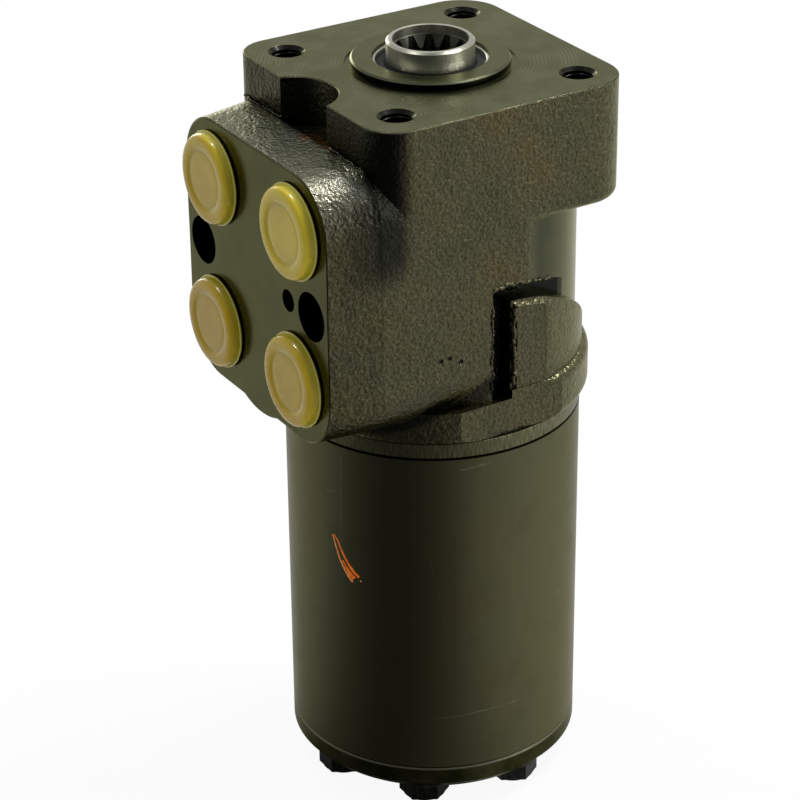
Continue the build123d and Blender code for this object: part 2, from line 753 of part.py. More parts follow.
# Cover screws: hexagon heads below, long plain shanks, threads in the housing
screw_angles = [first_screw + place * 360 / screw_count for place in range(screw_count)]
plain_angles = [angle for place, angle in enumerate(screw_angles) if place != check_screw_index]
screw_nodes = {
    "cover_screws": plain_angles,
    "check_screw": [screw_angles[check_screw_index]],
}
for screw_name, angles in screw_nodes.items():
    with BuildPart() as screw_group:
        for angle in angles:
            centre = Vector(screw_circle, 0, 0).rotate(Axis.Z, angle)
            with BuildSketch(Plane(origin=centre + Vector(0, 0, head_foot))):
                RegularPolygon(screw_head_width / 2, 6, major_radius=False)
            extrude(amount=screw_head_height)
            with BuildSketch(Plane(origin=centre + Vector(0, 0, head_foot + screw_head_height))):
                Circle(screw_radius)
            extrude(amount=plate_foot - head_foot - screw_head_height)
            with BuildSketch(Plane(origin=centre + Vector(0, 0, plate_foot))):
                Circle(screw_tap_radius - thread_gap)
            extrude(amount=screw_end - plate_foot)
            with BuildSketch(Plane(origin=centre + Vector(0, 0, head_foot + screw_head_chamfer / 2))):
                Circle(screw_head_width)
                Circle(screw_head_width / 2, mode=Mode.SUBTRACT)
            extrude(amount=-screw_head_chamfer / 2, mode=Mode.SUBTRACT)
        if screw_name == "check_screw":
            with BuildSketch(Plane(origin=check_place + Vector(0, 0, rolled_pin_tip - rolled_pin_length))):
                Circle(rolled_pin_radius + seat_gap)
            extrude(amount=rolled_pin_length, mode=Mode.SUBTRACT)
    screw_group.part.label = screw_name
    export_step(screw_group.part, f"parts/{screw_name}.step")

with BuildPart() as screw_washers:
    with BuildSketch(Plane.XY.offset(washer_foot)):
        with PolarLocations(screw_circle, screw_count, first_screw):
            Circle(washer_radius)
        with PolarLocations(screw_circle, screw_count, first_screw):
            Circle(screw_hole_radius, mode=Mode.SUBTRACT)
    extrude(amount=washer_thickness)
screw_washers.part.label = "screw_washers"
export_step(screw_washers.part, "parts/screw_washers.step")

# Check valve: rolled pin in the screw's end, ball on it, threaded seat above
with BuildPart() as rolled_pin:
    with BuildSketch(Plane(origin=check_place + Vector(0, 0, rolled_pin_tip - rolled_pin_length))):
        Circle(rolled_pin_radius)
        Circle(rolled_pin_radius - rolled_pin_wall, mode=Mode.SUBTRACT)
        Rectangle(
            rolled_pin_radius,
            rolled_pin_slot,
            align=(Align.MIN, Align.CENTER),
            mode=Mode.SUBTRACT,
        )
    extrude(amount=rolled_pin_length)
rolled_pin.part.label = "rolled_pin"
export_step(rolled_pin.part, "parts/rolled_pin.step")

with BuildPart(Plane(origin=check_place + Vector(0, 0, check_ball_centre))) as check_ball:
    Sphere(check_ball_radius)
check_ball.part.label = "check_ball"
export_step(check_ball.part, "parts/check_ball.step")

with BuildPart() as check_seat:
    with BuildSketch(Plane(origin=check_place + Vector(0, 0, check_seat_foot))):
        Circle(screw_tap_radius - thread_gap)
        Circle(check_seat_bore, mode=Mode.SUBTRACT)
    extrude(amount=check_seat_length - seat_gap)
    chamfer(check_seat.faces().sort_by(Axis.Z)[0].inner_wires().edges(), check_seat_mouth)
check_seat.part.label = "check_seat"
export_step(check_seat.part, "parts/check_seat.step")

# Rotor: six lobes outside, spline for the cardan shaft through its middle
with BuildPart() as rotor:
    rotor_plane = Plane(
        origin=rotor_centre + Vector(0, 0, rim_foot + rotor_end_gap),
        x_dir=lobe_direction,
        z_dir=(0, 0, 1),
    )
    with BuildSketch(rotor_plane):
        with BuildLine():
            outline_count = lobe_points * (screw_count - 1)
            turns = [2 * pi * place / outline_count for place in range(outline_count)]
            Spline([rotor_point(turn) for turn in turns], periodic=True)
        make_face()
        add(
            spline_opening(cardan_spline_minor, cardan_spline_major, cardan_spline_pitch, 0),
            mode=Mode.SUBTRACT,
        )
    extrude(amount=rim_length - 2 * rotor_end_gap)
rotor.part.label = "rotor"
export_step(rotor.part, "parts/rotor.step")

# Cardan shaft: fork over the cross pin above, crowned spline in the rotor below
with BuildPart() as upright_cardan:
    head_foot_height = -cardan_length - cardan_head_length / 2
    with BuildSketch(Plane((0, 0, head_foot_height), x_dir=lobe_direction, z_dir=(0, 0, 1))):
        add(
            spline_opening(
                cardan_spline_minor - loose_gap,
                cardan_spline_major - loose_gap,
                cardan_spline_pitch,
                -cardan_flank_gap,
            )
        )
    extrude(amount=cardan_head_length)
    with BuildSketch(Plane.XZ):
        with BuildLine():
            crown_radius = cardan_spline_major - loose_gap
            head_top = -cardan_length + cardan_head_length / 2
            Polyline(
                (crown_radius - cardan_crown, head_foot_height),
                (0, head_foot_height),
                (0, head_top),
                (crown_radius - cardan_crown, head_top),
            )
            ThreePointArc(
                (crown_radius - cardan_crown, head_top),
                (crown_radius, -cardan_length),
                (crown_radius - cardan_crown, head_foot_height),
            )
        make_face()
    revolve(axis=Axis.Z, mode=Mode.INTERSECT)
    with BuildSketch(Plane.XZ):
        with BuildLine():
            Polyline(
                (0, head_top),
                (0, fork_rise),
                (fork_radius - collar_chamfer, fork_rise),
                (fork_radius, fork_rise - collar_chamfer),
                (fork_radius, -fork_drop),
                (cardan_waist_radius, -fork_drop - fork_radius + cardan_waist_radius),
                (cardan_waist_radius, head_top),
                close=True,
            )
        make_face()
    revolve(axis=Axis.Z)
    with BuildSketch(Plane.YZ):
        with Locations((0, fork_rise)):
            Rectangle(
                2 * (pin_radius + fork_slot_gap),
                fork_rise + pin_radius + fork_slot_relief,
                align=(Align.CENTER, Align.MAX),
            )
    extrude(amount=fork_radius, both=True, mode=Mode.SUBTRACT)

with BuildPart() as cardan_shaft:
    tilt_axis = Axis((0, 0, 0), Vector(0, 0, 1).cross(lobe_direction))
    tilted = upright_cardan.part.rotate(tilt_axis, cardan_tilt)
    add(tilted.moved(Location((0, 0, -pin_depth))))
cardan_shaft.part.label = "cardan_shaft"
export_step(cardan_shaft.part, "parts/cardan_shaft.step")

# Round spacer under the cardan shaft, which travels round with the rotor
with BuildPart() as rotor_spacer:
    spacer_foot = rim_foot + loose_gap
    spacer_top = -cardan_head_depth - cardan_head_length / 2 - spacer_top_gap
    with BuildSketch(Plane(origin=rotor_centre + Vector(0, 0, spacer_foot))):
        Circle(cardan_spline_minor - loose_gap)
    extrude(amount=spacer_top - spacer_foot)
    chamfer(rotor_spacer.edges().filter_by(GeomType.CIRCLE), spacer_chamfer)
rotor_spacer.part.label = "rotor_spacer"
export_step(rotor_spacer.part, "parts/rotor_spacer.step")

# Plastic caps: tapered discs with a sunk middle, each on a hollow stem in its port
cap_nodes = {
    "upper_left_cap": (-port_pitch / 2, port_rows[0]),
    "upper_right_cap": (port_pitch / 2, port_rows[0]),
    "lower_left_cap": (-port_pitch / 2, port_rows[1]),
    "lower_right_cap": (port_pitch / 2, port_rows[1]),
}
stem_radius = port_tap_radius - cap_stem_gap
recess_floor = -cap_height + cap_recess_depth
for cap_name, (cap_x, cap_z) in cap_nodes.items():
    cap_origin = Vector(cap_x, -port_face, cap_z)
    with BuildPart() as port_cap:
        with BuildSketch(Plane(origin=cap_origin, x_dir=(1, 0, 0), z_dir=(0, 0, 1))):
            with BuildLine():
                Polyline(
                    (0, recess_floor),
                    (cap_recess_radius, recess_floor),
                    (cap_recess_radius + cap_recess_depth, -cap_height),
                    (cap_front_radius, -cap_height),
                    (cap_front_radius + cap_edge_round, -cap_height + cap_edge_round),
                    (cap_side_radius, -cap_stand_off - cap_lip_thickness),
                    (cap_lip_radius, -cap_stand_off - cap_lip_thickness),
                    (cap_lip_radius, -cap_stand_off),
                    (stem_radius, -cap_stand_off),
                    (stem_radius, cap_stem_length),
                    (stem_radius - cap_stem_wall, cap_stem_length),
                    (stem_radius - cap_stem_wall, recess_floor + cap_face_thickness),
                    (0, recess_floor + cap_face_thickness),
                    close=True,
                )
            make_face()
        revolve(axis=Axis(cap_origin, (0, 1, 0)))
    port_cap.part.label = cap_name
    export_step(port_cap.part, f"parts/{cap_name}.step")
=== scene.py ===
from math import cos, pi, radians, sin, sqrt

import bmesh
import bpy
from mathutils import Matrix, Vector


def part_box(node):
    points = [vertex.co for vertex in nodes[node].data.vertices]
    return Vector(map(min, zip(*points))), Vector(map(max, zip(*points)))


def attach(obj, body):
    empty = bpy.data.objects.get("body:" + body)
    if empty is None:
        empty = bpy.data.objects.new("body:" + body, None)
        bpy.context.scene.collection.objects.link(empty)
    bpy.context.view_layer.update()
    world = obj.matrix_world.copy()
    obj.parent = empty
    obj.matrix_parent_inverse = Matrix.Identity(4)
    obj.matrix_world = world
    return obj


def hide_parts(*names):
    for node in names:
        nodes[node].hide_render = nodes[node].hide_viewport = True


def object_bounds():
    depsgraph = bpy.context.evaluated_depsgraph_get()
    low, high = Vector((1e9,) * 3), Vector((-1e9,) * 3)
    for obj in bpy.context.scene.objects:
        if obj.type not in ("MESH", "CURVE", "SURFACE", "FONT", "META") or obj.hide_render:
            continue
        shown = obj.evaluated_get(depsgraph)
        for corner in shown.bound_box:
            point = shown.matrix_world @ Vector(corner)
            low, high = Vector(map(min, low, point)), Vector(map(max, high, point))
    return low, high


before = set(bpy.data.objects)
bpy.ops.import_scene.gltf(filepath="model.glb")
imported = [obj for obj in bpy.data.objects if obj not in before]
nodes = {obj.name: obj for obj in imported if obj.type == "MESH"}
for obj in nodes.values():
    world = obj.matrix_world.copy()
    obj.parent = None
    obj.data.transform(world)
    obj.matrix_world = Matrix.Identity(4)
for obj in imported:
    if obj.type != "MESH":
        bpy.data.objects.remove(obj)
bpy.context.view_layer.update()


# Camera: stands above the port side and looks down at the unit from its front right, as in the
# photograph, with a long lens that keeps the drum's sides nearly parallel.
camera_place = Vector((0.6249, -0.3947, 0.2759))
camera_turn = radians(58.45)
camera_tip = radians(62.73)
camera_roll = radians(-0.58)
focal_length = 127.55
film_width = 36.0
nearest_view = 0.01

lens = bpy.data.cameras.new("camera")
lens.lens = focal_length
lens.sensor_width = film_width
lens.clip_start = nearest_view
camera = bpy.data.objects.new("camera", lens)
bpy.context.scene.collection.objects.link(camera)
camera.matrix_world = (
    Matrix.Translation(camera_place)
    @ Matrix.Rotation(camera_turn, 4, "Z")
    @ Matrix.Rotation(camera_tip, 4, "X")
    @ Matrix.Rotation(camera_roll, 4, "Z")
)
bpy.context.scene.camera = camera
bpy.context.scene.view_settings.view_transform = "Standard"


# Floor and surroundings: a white studio sweep. It is darker in front of the unit, where a
# black card lies in the real room, so polished steel shows a dark band facing the camera.
card_azimuth = radians(-58.0)
card_way = (cos(card_azimuth), sin(card_azimuth), 0.0)
# Brightness that metal mirrors, from towards the card (0) to away from it (1)
floor_stops = [(0.0, 0.05), (0.1, 0.15), (0.26, 0.40), (0.35, 0.5), (0.47, 0.6), (0.73, 0.75), (1.0, 0.85)]
room_stops = [(0.0, 0.05), (0.2, 0.15), (0.5, 0.45), (1.0, 0.62)]
floor_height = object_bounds()[0][2]
floor_reach = 6.0
floor_paint = (0.72, 0.72, 0.72, 1.0)
floor_glow = 0.93
white = (1.0, 1.0, 1.0, 1.0)
daylight = (0.95, 0.97, 1.0, 1.0)
daylight_strength = 0.40


# Links each input that is another node's output, and sets the others
def fill(tree, item, inputs):
    for name, value in inputs.items():
        if isinstance(value, bpy.types.NodeSocket):
            tree.links.new(value, item.inputs[name])
        else:
            item.inputs[name].default_value = value


def add_node(tree, kind, inputs=None, **settings):
    item = tree.nodes.new(kind)
    for name, value in settings.items():
        setattr(item, name, value)
    fill(tree, item, inputs or {})
    return item


def add_math(tree, operation, first, second=0.0, third=0.0, clamp=False):
    inputs = {0: first, 1: second, 2: third}
    return add_node(tree, "ShaderNodeMath", inputs, operation=operation, use_clamp=clamp).outputs[0]


def add_vector(tree, operation, first, second=(0.0, 0.0, 0.0), scale=1.0):
    inputs = {0: first, 1: second, 3: scale}
    item = add_node(tree, "ShaderNodeVectorMath", inputs, operation=operation)
    gives_number = operation in ("DOT_PRODUCT", "DISTANCE", "LENGTH")
    return item.outputs["Value" if gives_number else "Vector"]


def add_ramp(tree, factor, stops):
    ramp = add_node(tree, "ShaderNodeValToRGB", {0: factor})
    elements = ramp.color_ramp.elements
    while len(elements) < len(stops):
        elements.new(1.0)
    for element, (place, colour) in zip(elements, stops):
        element.position = place
        element.color = (*colour, 1.0)
    return ramp.outputs[0]


def room_brightness(tree, direction, stops):
    facing = add_vector(tree, "DOT_PRODUCT", direction, card_way)
    turned_away = add_math(tree, "MULTIPLY_ADD", facing, -0.5, 0.5)
    return add_ramp(tree, turned_away, [(turn, (value, value, value)) for turn, value in stops])


sweep = bpy.data.materials.new("white_sweep")
sweep.use_nodes = True
tree = sweep.node_tree
tree.nodes.clear()
place = add_node(tree, "ShaderNodeTexCoord").outputs["Object"]
heading = add_vector(tree, "NORMALIZE", add_vector(tree, "MULTIPLY", place, (1.0, 1.0, 0.0)))
mirrored = room_brightness(tree, heading, floor_stops)
rays = add_node(tree, "ShaderNodeLightPath").outputs
matte = add_node(tree, "ShaderNodeBsdfDiffuse", {"Color": floor_paint}).outputs[0]
seen = add_node(tree, "ShaderNodeEmission", {"Color": white, "Strength": 1.0}).outputs[0]
reflected = add_node(tree, "ShaderNodeEmission", {"Color": mirrored, "Strength": 1.0}).outputs[0]
for_camera = add_math(tree, "MULTIPLY", rays["Is Camera Ray"], floor_glow)
white_floor = add_node(tree, "ShaderNodeMixShader", {0: for_camera, 1: matte, 2: seen}).outputs[0]
sharp = add_math(tree, "ADD", rays["Is Glossy Ray"], rays["Is Transmission Ray"], clamp=True)
floor_look = add_node(tree, "ShaderNodeMixShader", {0: sharp, 1: white_floor, 2: reflected}).outputs[0]
add_node(tree, "ShaderNodeOutputMaterial", {"Surface": floor_look})

floor_mesh = bpy.data.meshes.new("floor")
builder = bmesh.new()
bmesh.ops.create_grid(builder, x_segments=4, y_segments=4, size=floor_reach)
bmesh.ops.translate(builder, vec=(0.0, 0.0, floor_height), verts=builder.verts)
builder.to_mesh(floor_mesh)
builder.free()
floor = bpy.data.objects.new("floor", floor_mesh)
bpy.context.scene.collection.objects.link(floor)
floor_mesh.materials.append(sweep)

world = bpy.data.worlds.new("white_room")
bpy.context.scene.world = world
world.use_nodes = True
tree = world.node_tree
tree.nodes.clear()
direction = add_node(tree, "ShaderNodeTexCoord").outputs["Generated"]
mirrored = room_brightness(tree, direction, room_stops)
rays = add_node(tree, "ShaderNodeLightPath").outputs
seen = add_node(tree, "ShaderNodeBackground", {"Color": white, "Strength": 1.0}).outputs[0]
reflected = add_node(tree, "ShaderNodeBackground", {"Color": mirrored, "Strength": 1.0}).outputs[0]
soft = add_node(tree, "ShaderNodeBackground", {"Color": daylight, "Strength": daylight_strength}).outputs[0]
sharp = add_math(tree, "ADD", rays["Is Glossy Ray"], rays["Is Transmission Ray"], clamp=True)
room = add_node(tree, "ShaderNodeMixShader", {0: sharp, 1: soft, 2: reflected}).outputs[0]
room = add_node(tree, "ShaderNodeMixShader", {0: rays["Is Camera Ray"], 1: room, 2: seen}).outputs[0]
add_node(tree, "ShaderNodeOutputWorld", {"Surface": room})

# Each softbox: the way it lies from the unit, its distance, width and power
softboxes = {
    "overhead_box": ((0.06, 0.45, 0.88), 1.1, 0.36, 12.0),
    "cap_box": ((-0.32, -0.15, 0.93), 1.1, 0.2, 4.5),
    "right_box": ((0.80, 0.62, 0.30), 1.4, 0.8, 3.0),
    "left_box": ((-0.98, 0.12, 0.12), 1.3, 0.6, 4.0),
}
lit_middle = Vector((0.0, 0.0, -0.06))
for name, (way, distance, width, power) in softboxes.items():
    lamp = bpy.data.lights.new(name, "AREA")
    lamp.shape = "SQUARE"
    lamp.size = width
    lamp.energy = power
    lamp_object = bpy.data.objects.new(name, lamp)
    bpy.context.scene.collection.objects.link(lamp_object)
    way = Vector(way).normalized()
    turn = (-way).to_track_quat("-Z", "Y").to_matrix().to_4x4()
    lamp_object.matrix_world = Matrix.Translation(lit_middle + way * distance) @ turn


# Housing: one casting of grey iron, left rough from its sand mould on the walls and oiled, and
# turned or milled where it seals: the mounting face, the port face, the back and the bores.
edge_break = 0.0003
bore_edge = 0.0225
relief_edge = 0.0243
spigot_edge = 0.0223
spigot_top = 0.0018
mount_reach = 0.02917
mount_mouth = 0.00535
mount_floor = -0.0215
port_face = 0.05716
port_reach = 0.022
port_middle = -0.0512
port_mouth = 0.0105
port_floor = -0.0300
block_reach = 0.0302
block_mouth = 0.0071
pilot_reach = 0.0179
pilot_mouth = 0.00333
hole_floor = -0.0410
body_reach = 0.0412
# How soft the line is where one finish ends: along faces, and to each side of a hole's edge
finish_line = 0.0001
hole_line = 0.00002
floor_line = 0.0002
# Each finish's tones, from dark to light
skin_tones = [(0.30, (0.058, 0.055, 0.026)), (0.5, (0.100, 0.095, 0.046)), (0.72, (0.150, 0.138, 0.072))]
skin_stains = [(0.32, (0.80, 0.86, 0.86)), (0.5, (1.0, 1.0, 1.0)), (0.68, (1.18, 1.02, 0.86))]
mounting_face_tones = [(0.3, (0.060, 0.064, 0.030)), (0.7, (0.092, 0.096, 0.048))]
port_face_tones = [(0.3, (0.042, 0.046, 0.010)), (0.5, (0.056, 0.058, 0.016)), (0.7, (0.074, 0.072, 0.022))]
bore_tones = [(0.3, (0.090, 0.092, 0.062)), (0.7, (0.135, 0.135, 0.095))]
back_tones = [(0.3, (0.046, 0.050, 0.024)), (0.7, (0.068, 0.070, 0.038))]
bright_ring = (0.20, 0.20, 0.14)
rubbed_and_highlit_edge = (0.24, 0.24, 0.18)
roof_highlight_grey = (0.140, 0.145, 0.132)
rust_brown = (0.150, 0.060, 0.012)
front_shade_black = (0.008, 0.008, 0.004)
side_wall_shade_dark = (0.012, 0.012, 0.006)
hole_shade = (0.010, 0.010, 0.007)
spigot_shade_dark = (0.006, 0.007, 0.004)
crevice_shade_black = (0.004, 0.005, 0.002)
pit_shade = (0.004, 0.004, 0.003)


def start_material(name):
    material = bpy.data.materials.new(name)
    material.use_nodes = True
    tree = material.node_tree
    return material, tree, tree.nodes["Principled BSDF"]


def object_place(tree):
    place = add_node(tree, "ShaderNodeTexCoord").outputs["Object"]
    return place, add_node(tree, "ShaderNodeSeparateXYZ", {0: place}).outputs


# Noise from 0 to 1, with its scale in grains per metre
def add_noise(tree, place, scale, detail=2.0, roughness=0.5):
    inputs = {"Vector": place, "Scale": scale, "Detail": detail, "Roughness": roughness}
    return add_node(tree, "ShaderNodeTexNoise", inputs).outputs["Fac"]


def mix_colours(tree, factor, first, second, blend="MIX"):
    inputs = {0: factor}
    for socket, value in ((6, first), (7, second)):
        inputs[socket] = value if isinstance(value, bpy.types.NodeSocket) else (*value, 1.0)
    return add_node(tree, "ShaderNodeMix", inputs, data_type="RGBA", blend_type=blend).outputs[2]


def mix_values(tree, factor, first, second):
    return add_node(tree, "ShaderNodeMix", {0: factor, 2: first, 3: second}).outputs[0]


def add_bump(tree, height, distance, strength=1.0):
    inputs = {"Height": height, "Distance": distance, "Strength": strength}
    return add_node(tree, "ShaderNodeBump", inputs).outputs[0]


# Share from 0 to 1 as a value goes from one limit to the other
def add_step(tree, value, start, end):
    inputs = {0: value, 1: start, 2: end}
    return add_node(tree, "ShaderNodeMapRange", inputs, interpolation_type="SMOOTHSTEP").outputs[0]


def add_product(tree, *values):
    product = values[0]
    for value in values[1:]:
        product = add_math(tree, "MULTIPLY", product, value)
    return product


def add_largest(tree, *values):
    largest = values[0]
    for value in values[1:]:
        largest = add_math(tree, "MAXIMUM", largest, value)
    return largest


# A zone of the surface: each limit is a value, where the zone starts and where it is full
def add_zone(tree, *limits):
    return add_product(tree, *(add_step(tree, *limit) for limit in limits))


# Distance from a point given by two of the coordinates
def add_distance(tree, first, second, first_middle=0.0, second_middle=0.0):
    across = add_math(tree, "SUBTRACT", first, first_middle)
    along = add_math(tree, "SUBTRACT", second, second_middle)
    squares = add_math(tree, "ADD", add_product(tree, across, across), add_product(tree, along, along))
    return add_math(tree, "SQRT", squares)


# Inside of a round hole whose middle is given by two of the coordinates
def add_hole(tree, across, up, middle, mouth):
    away = add_distance(tree, across, up, *middle)
    return add_step(tree, away, mouth + hole_line, mouth - hole_line)


def dress(names, material):
    for name in names:
        nodes[name].data.materials.clear()
        nodes[name].data.materials.append(material)


casting, tree, shader = start_material("oiled_grey_iron")
place, axes = object_place(tree)
x_size = add_math(tree, "ABSOLUTE", axes["X"])
y_size = add_math(tree, "ABSOLUTE", axes["Y"])
radius = add_distance(tree, axes["X"], axes["Y"])
relief_floor = add_zone(
    tree,
    (axes["Z"], -0.0007, -0.0005),
    (radius, relief_edge, relief_edge - finish_line),
)
top = add_largest(tree, add_step(tree, axes["Z"], -edge_break, 2 * finish_line - edge_break), relief_floor)
port_side = add_step(tree, axes["Y"], -0.0568, -0.0570)
in_bore = add_step(tree, radius, bore_edge, bore_edge - finish_line)
tapped = add_zone(
    tree,
    (add_distance(tree, x_size, y_size, mount_reach, mount_reach), mount_mouth, mount_mouth - finish_line),
    (axes["Z"], mount_floor, mount_floor + 2 * finish_line),
    (axes["Z"], 0.0, -finish_line),
)
block_holes = add_hole(tree, x_size, axes["Z"], (block_reach, port_middle), block_mouth)
pilot_hole = add_hole(tree, axes["X"], axes["Z"], (pilot_reach, port_middle), pilot_mouth)
before_floor = add_step(tree, axes["Y"], hole_floor, hole_floor - floor_line)
plain_holes = add_product(tree, add_largest(tree, block_holes, pilot_hole), before_floor)
row_height = add_math(tree, "ABSOLUTE", add_math(tree, "SUBTRACT", axes["Z"], port_middle))
port_holes = add_hole(tree, x_size, row_height, (port_reach, port_reach), port_mouth)
before_floor = add_step(tree, axes["Y"], port_floor, port_floor - floor_line)
port_holes = add_product(tree, port_holes, before_floor)
behind_face = add_step(tree, axes["Y"], 0.00004 - port_face, 0.00016 - port_face)
side_holes = add_product(tree, add_largest(tree, plain_holes, port_holes), behind_face)
holes = add_largest(tree, tapped, side_holes)
# The back of the round body between flange and lower flange is turned smooth
turned_back = add_zone(
    tree,
    (axes["Y"], 0.004, 0.010),
    (axes["Z"], -0.0350, -0.0354),
    (axes["Z"], -0.0842, -0.0838),
    (radius, body_reach + 0.00015, body_reach + 0.00005),
)
machined = add_largest(tree, top, port_side, in_bore, holes)
cast = add_math(tree, "SUBTRACT", 1.0, add_largest(tree, machined, turned_back))

# The skin that the sand left: how high its pebbles, grains, lumps and slow swells stand
pebbles = add_noise(tree, place, 1100.0, 2.0, 0.55)
grain = {"Vector": place, "Scale": 900.0}
cells = add_node(tree, "ShaderNodeTexVoronoi", grain, feature="SMOOTH_F1").outputs["Distance"]
lumps = add_noise(tree, place, 330.0)
swells = add_noise(tree, place, 90.0)
stains = add_noise(tree, place, 38.0, 4.0, 0.6)
skin = add_product(tree, pebbles, 0.75)
for layer, share in ((cells, 0.55), (lumps, 0.9), (swells, 1.4)):
    skin = add_math(tree, "MULTIPLY_ADD", layer, share, skin)
speckle = add_ramp(tree, pebbles, skin_tones)
cast_colour = mix_colours(tree, 1.0, speckle, add_ramp(tree, stains, skin_stains), "MULTIPLY")

# The slots beside the pads and the strip under the block's lower edge are painted near black: painted shade
slot_painted_shade = add_zone(
    tree,
    (radius, 0.0408, 0.0403),
    (x_size, 0.0300, 0.0320),
    (axes["Y"], -0.0064, -0.0061),
    (axes["Y"], 0.0300, 0.0200),
    (axes["Z"], -0.0480, -0.0500),
    (axes["Z"], -0.0870, -0.0860),
)
block_edge = add_distance(tree, x_size, axes["Z"], 0.0244, -0.0752)
under_block = add_zone(
    tree,
    (block_edge, 0.0162, 0.0168),
    (block_edge, 0.0200, 0.0180),
    (axes["Y"], -0.0450, -0.0350),
    (axes["Y"], -0.0030, -0.0060),
    (axes["Z"], -0.0760, -0.0800),
)
crevice_painted_shade = add_largest(tree, add_product(tree, slot_painted_shade, 0.93), add_product(tree, under_block, 0.8))
# The block's top is painted greyer and paler than the walls: painted light, for the overhead light and its
# highlight
roof_painted_light = add_zone(tree, (axes["Z"], -0.0270, -0.0150), (axes["Y"], -0.0400, -0.0425))
cast_colour = mix_colours(tree, add_product(tree, roof_painted_light, 0.5), cast_colour, roof_highlight_grey)
# The flange's front wall, its front corners and the fold beside the block are painted nearly black: painted
# shade
front_painted_shade = add_zone(
    tree,
    (axes["Y"], -0.0300, -0.0360),
    (axes["Z"], -0.0460, -0.0340),
    (axes["Y"], -0.0440, -0.0415),
)
cast_colour = mix_colours(tree, add_product(tree, front_painted_shade, 0.92), cast_colour, front_shade_black)
# Painted shade on the block's side walls, below their upper corners next to the flange
side_wall_painted_shade = add_zone(
    tree,
    (x_size, 0.0365, 0.0386),
    (axes["Z"], -0.0470, -0.0360),
    (axes["Y"], -0.0570, -0.0440),
    (axes["Y"], -0.0320, -0.0400),
)
cast_colour = mix_colours(tree, add_product(tree, side_wall_painted_shade, 0.7), cast_colour, side_wall_shade_dark)
# Rust spots: the notch floor, and the seam of flange and block
rust_spots = [((0.0045, -0.0385, -0.0105), 0.0085), ((0.0120, -0.0405, -0.0118), 0.0045)]
for middle, reach in rust_spots:
    away = add_vector(tree, "DISTANCE", place, middle)
    rust = add_zone(tree, (away, reach, reach * 0.2), (lumps, 0.38, 0.62))
    cast_colour = mix_colours(tree, rust, cast_colour, rust_brown)
# Three pits in a row on the right wall, near the block's lower edge
pits = [(0.0408, -0.0229, -0.0694), (0.0408, -0.0200, -0.0693), (0.0408, -0.0164, -0.0712)]
for middle in pits:
    pit = add_step(tree, add_vector(tree, "DISTANCE", place, middle), 0.0009, 0.0004)
    cast_colour = mix_colours(tree, pit, cast_colour, pit_shade)
    skin = add_math(tree, "MULTIPLY_ADD", pit, -2.0, skin)

# Rings that the turning tool left around the spigot, brighter in patches
turned_rings = add_node(
    tree,
    "ShaderNodeTexWave",
    {"Vector": place, "Scale": 290.0, "Distortion": 1.5, "Detail": 2.0, "Detail Scale": 0.3},
    wave_type="RINGS",
    rings_direction="Z",
).outputs["Fac"]
ring_patches = add_product(tree, turned_rings, add_zone(tree, (swells, 0.42, 0.62), (radius, 0.023, 0.026)))
blotch = add_noise(tree, place, 70.0, 4.0, 0.6)
top_colour = add_ramp(tree, blotch, mounting_face_tones)
top_colour = mix_colours(tree, add_product(tree, ring_patches, 0.55), top_colour, bright_ring)
face_colour = add_ramp(tree, blotch, port_face_tones)
machined_colour = mix_colours(tree, port_side, top_colour, face_colour)
below_spigot = add_product(tree, in_bore, add_step(tree, axes["Z"], spigot_top + finish_line, spigot_top))
machined_colour = mix_colours(tree, below_spigot, machined_colour, add_ramp(tree, blotch, bore_tones))
machined_colour = mix_colours(tree, holes, machined_colour, hole_shade)
base = mix_colours(tree, turned_back, cast_colour, add_ramp(tree, blotch, back_tones))
base = mix_colours(tree, machined, base, machined_colour)
# Painted shade: the slots beside the pads and the strip under the block are painted near black
base = mix_colours(tree, crevice_painted_shade, base, crevice_shade_black)
# The spigot's side and the relief around its foot are painted dark: painted shade
spigot_painted_shade = add_zone(
    tree,
    (radius, spigot_edge - 0.00005, spigot_edge),
    (radius, relief_edge - finish_line, relief_edge - 0.0003),
    (axes["Z"], -0.00038, -0.0003),
    (axes["Z"], spigot_top, spigot_top - 0.0004),
)
base = mix_colours(tree, spigot_painted_shade, base, spigot_shade_dark)
# Edges are painted a little brighter: partly rubbed wear, partly a painted highlight
softened = add_node(tree, "ShaderNodeBevel", {"Radius": 0.0004}, samples=4).outputs[0]
straight = add_node(tree, "ShaderNodeNewGeometry").outputs["Normal"]
bend = add_vector(tree, "DOT_PRODUCT", softened, straight)
edges = add_zone(tree, (bend, 0.985, 0.90), (lumps, 0.35, 0.55))
bare = add_math(tree, "SUBTRACT", 1.0, add_largest(tree, holes, crevice_painted_shade, spigot_painted_shade))
base = mix_colours(tree, add_product(tree, edges, bare, 0.15), base, rubbed_and_highlit_edge)

cast_rough = add_math(tree, "MULTIPLY_ADD", stains, 0.16, 0.27)
fine_rough = add_math(tree, "MULTIPLY_ADD", blotch, 0.14, 0.20)
milled_rough = add_math(tree, "MULTIPLY_ADD", blotch, 0.12, 0.12)
rough = mix_values(tree, cast, fine_rough, cast_rough)
rough = mix_values(tree, port_side, rough, milled_rough)
height = add_product(tree, skin, cast)
height = add_math(tree, "MULTIPLY_ADD", add_product(tree, turned_rings, top), 0.05, height)
grain = {"Vector": place, "Scale": 210.0}
thread_turns = add_node(tree, "ShaderNodeTexWave", grain, bands_direction="Y").outputs["Fac"]
height = add_math(tree, "MULTIPLY_ADD", add_product(tree, thread_turns, port_holes), 1.5, height)
surface = add_bump(tree, height, 0.00032)
oiled_iron = {
    "Base Color": base,
    "Metallic": 1.0,
    "Roughness": rough,
    "Specular Tint": (0.85, 0.85, 0.60, 1.0),
    "Normal": surface,
    "Coat Weight": 0.35,
    "Coat Roughness": 0.2,
    "Coat Normal": surface,
}
fill(tree, shader, oiled_iron)
dress(["housing"], casting)


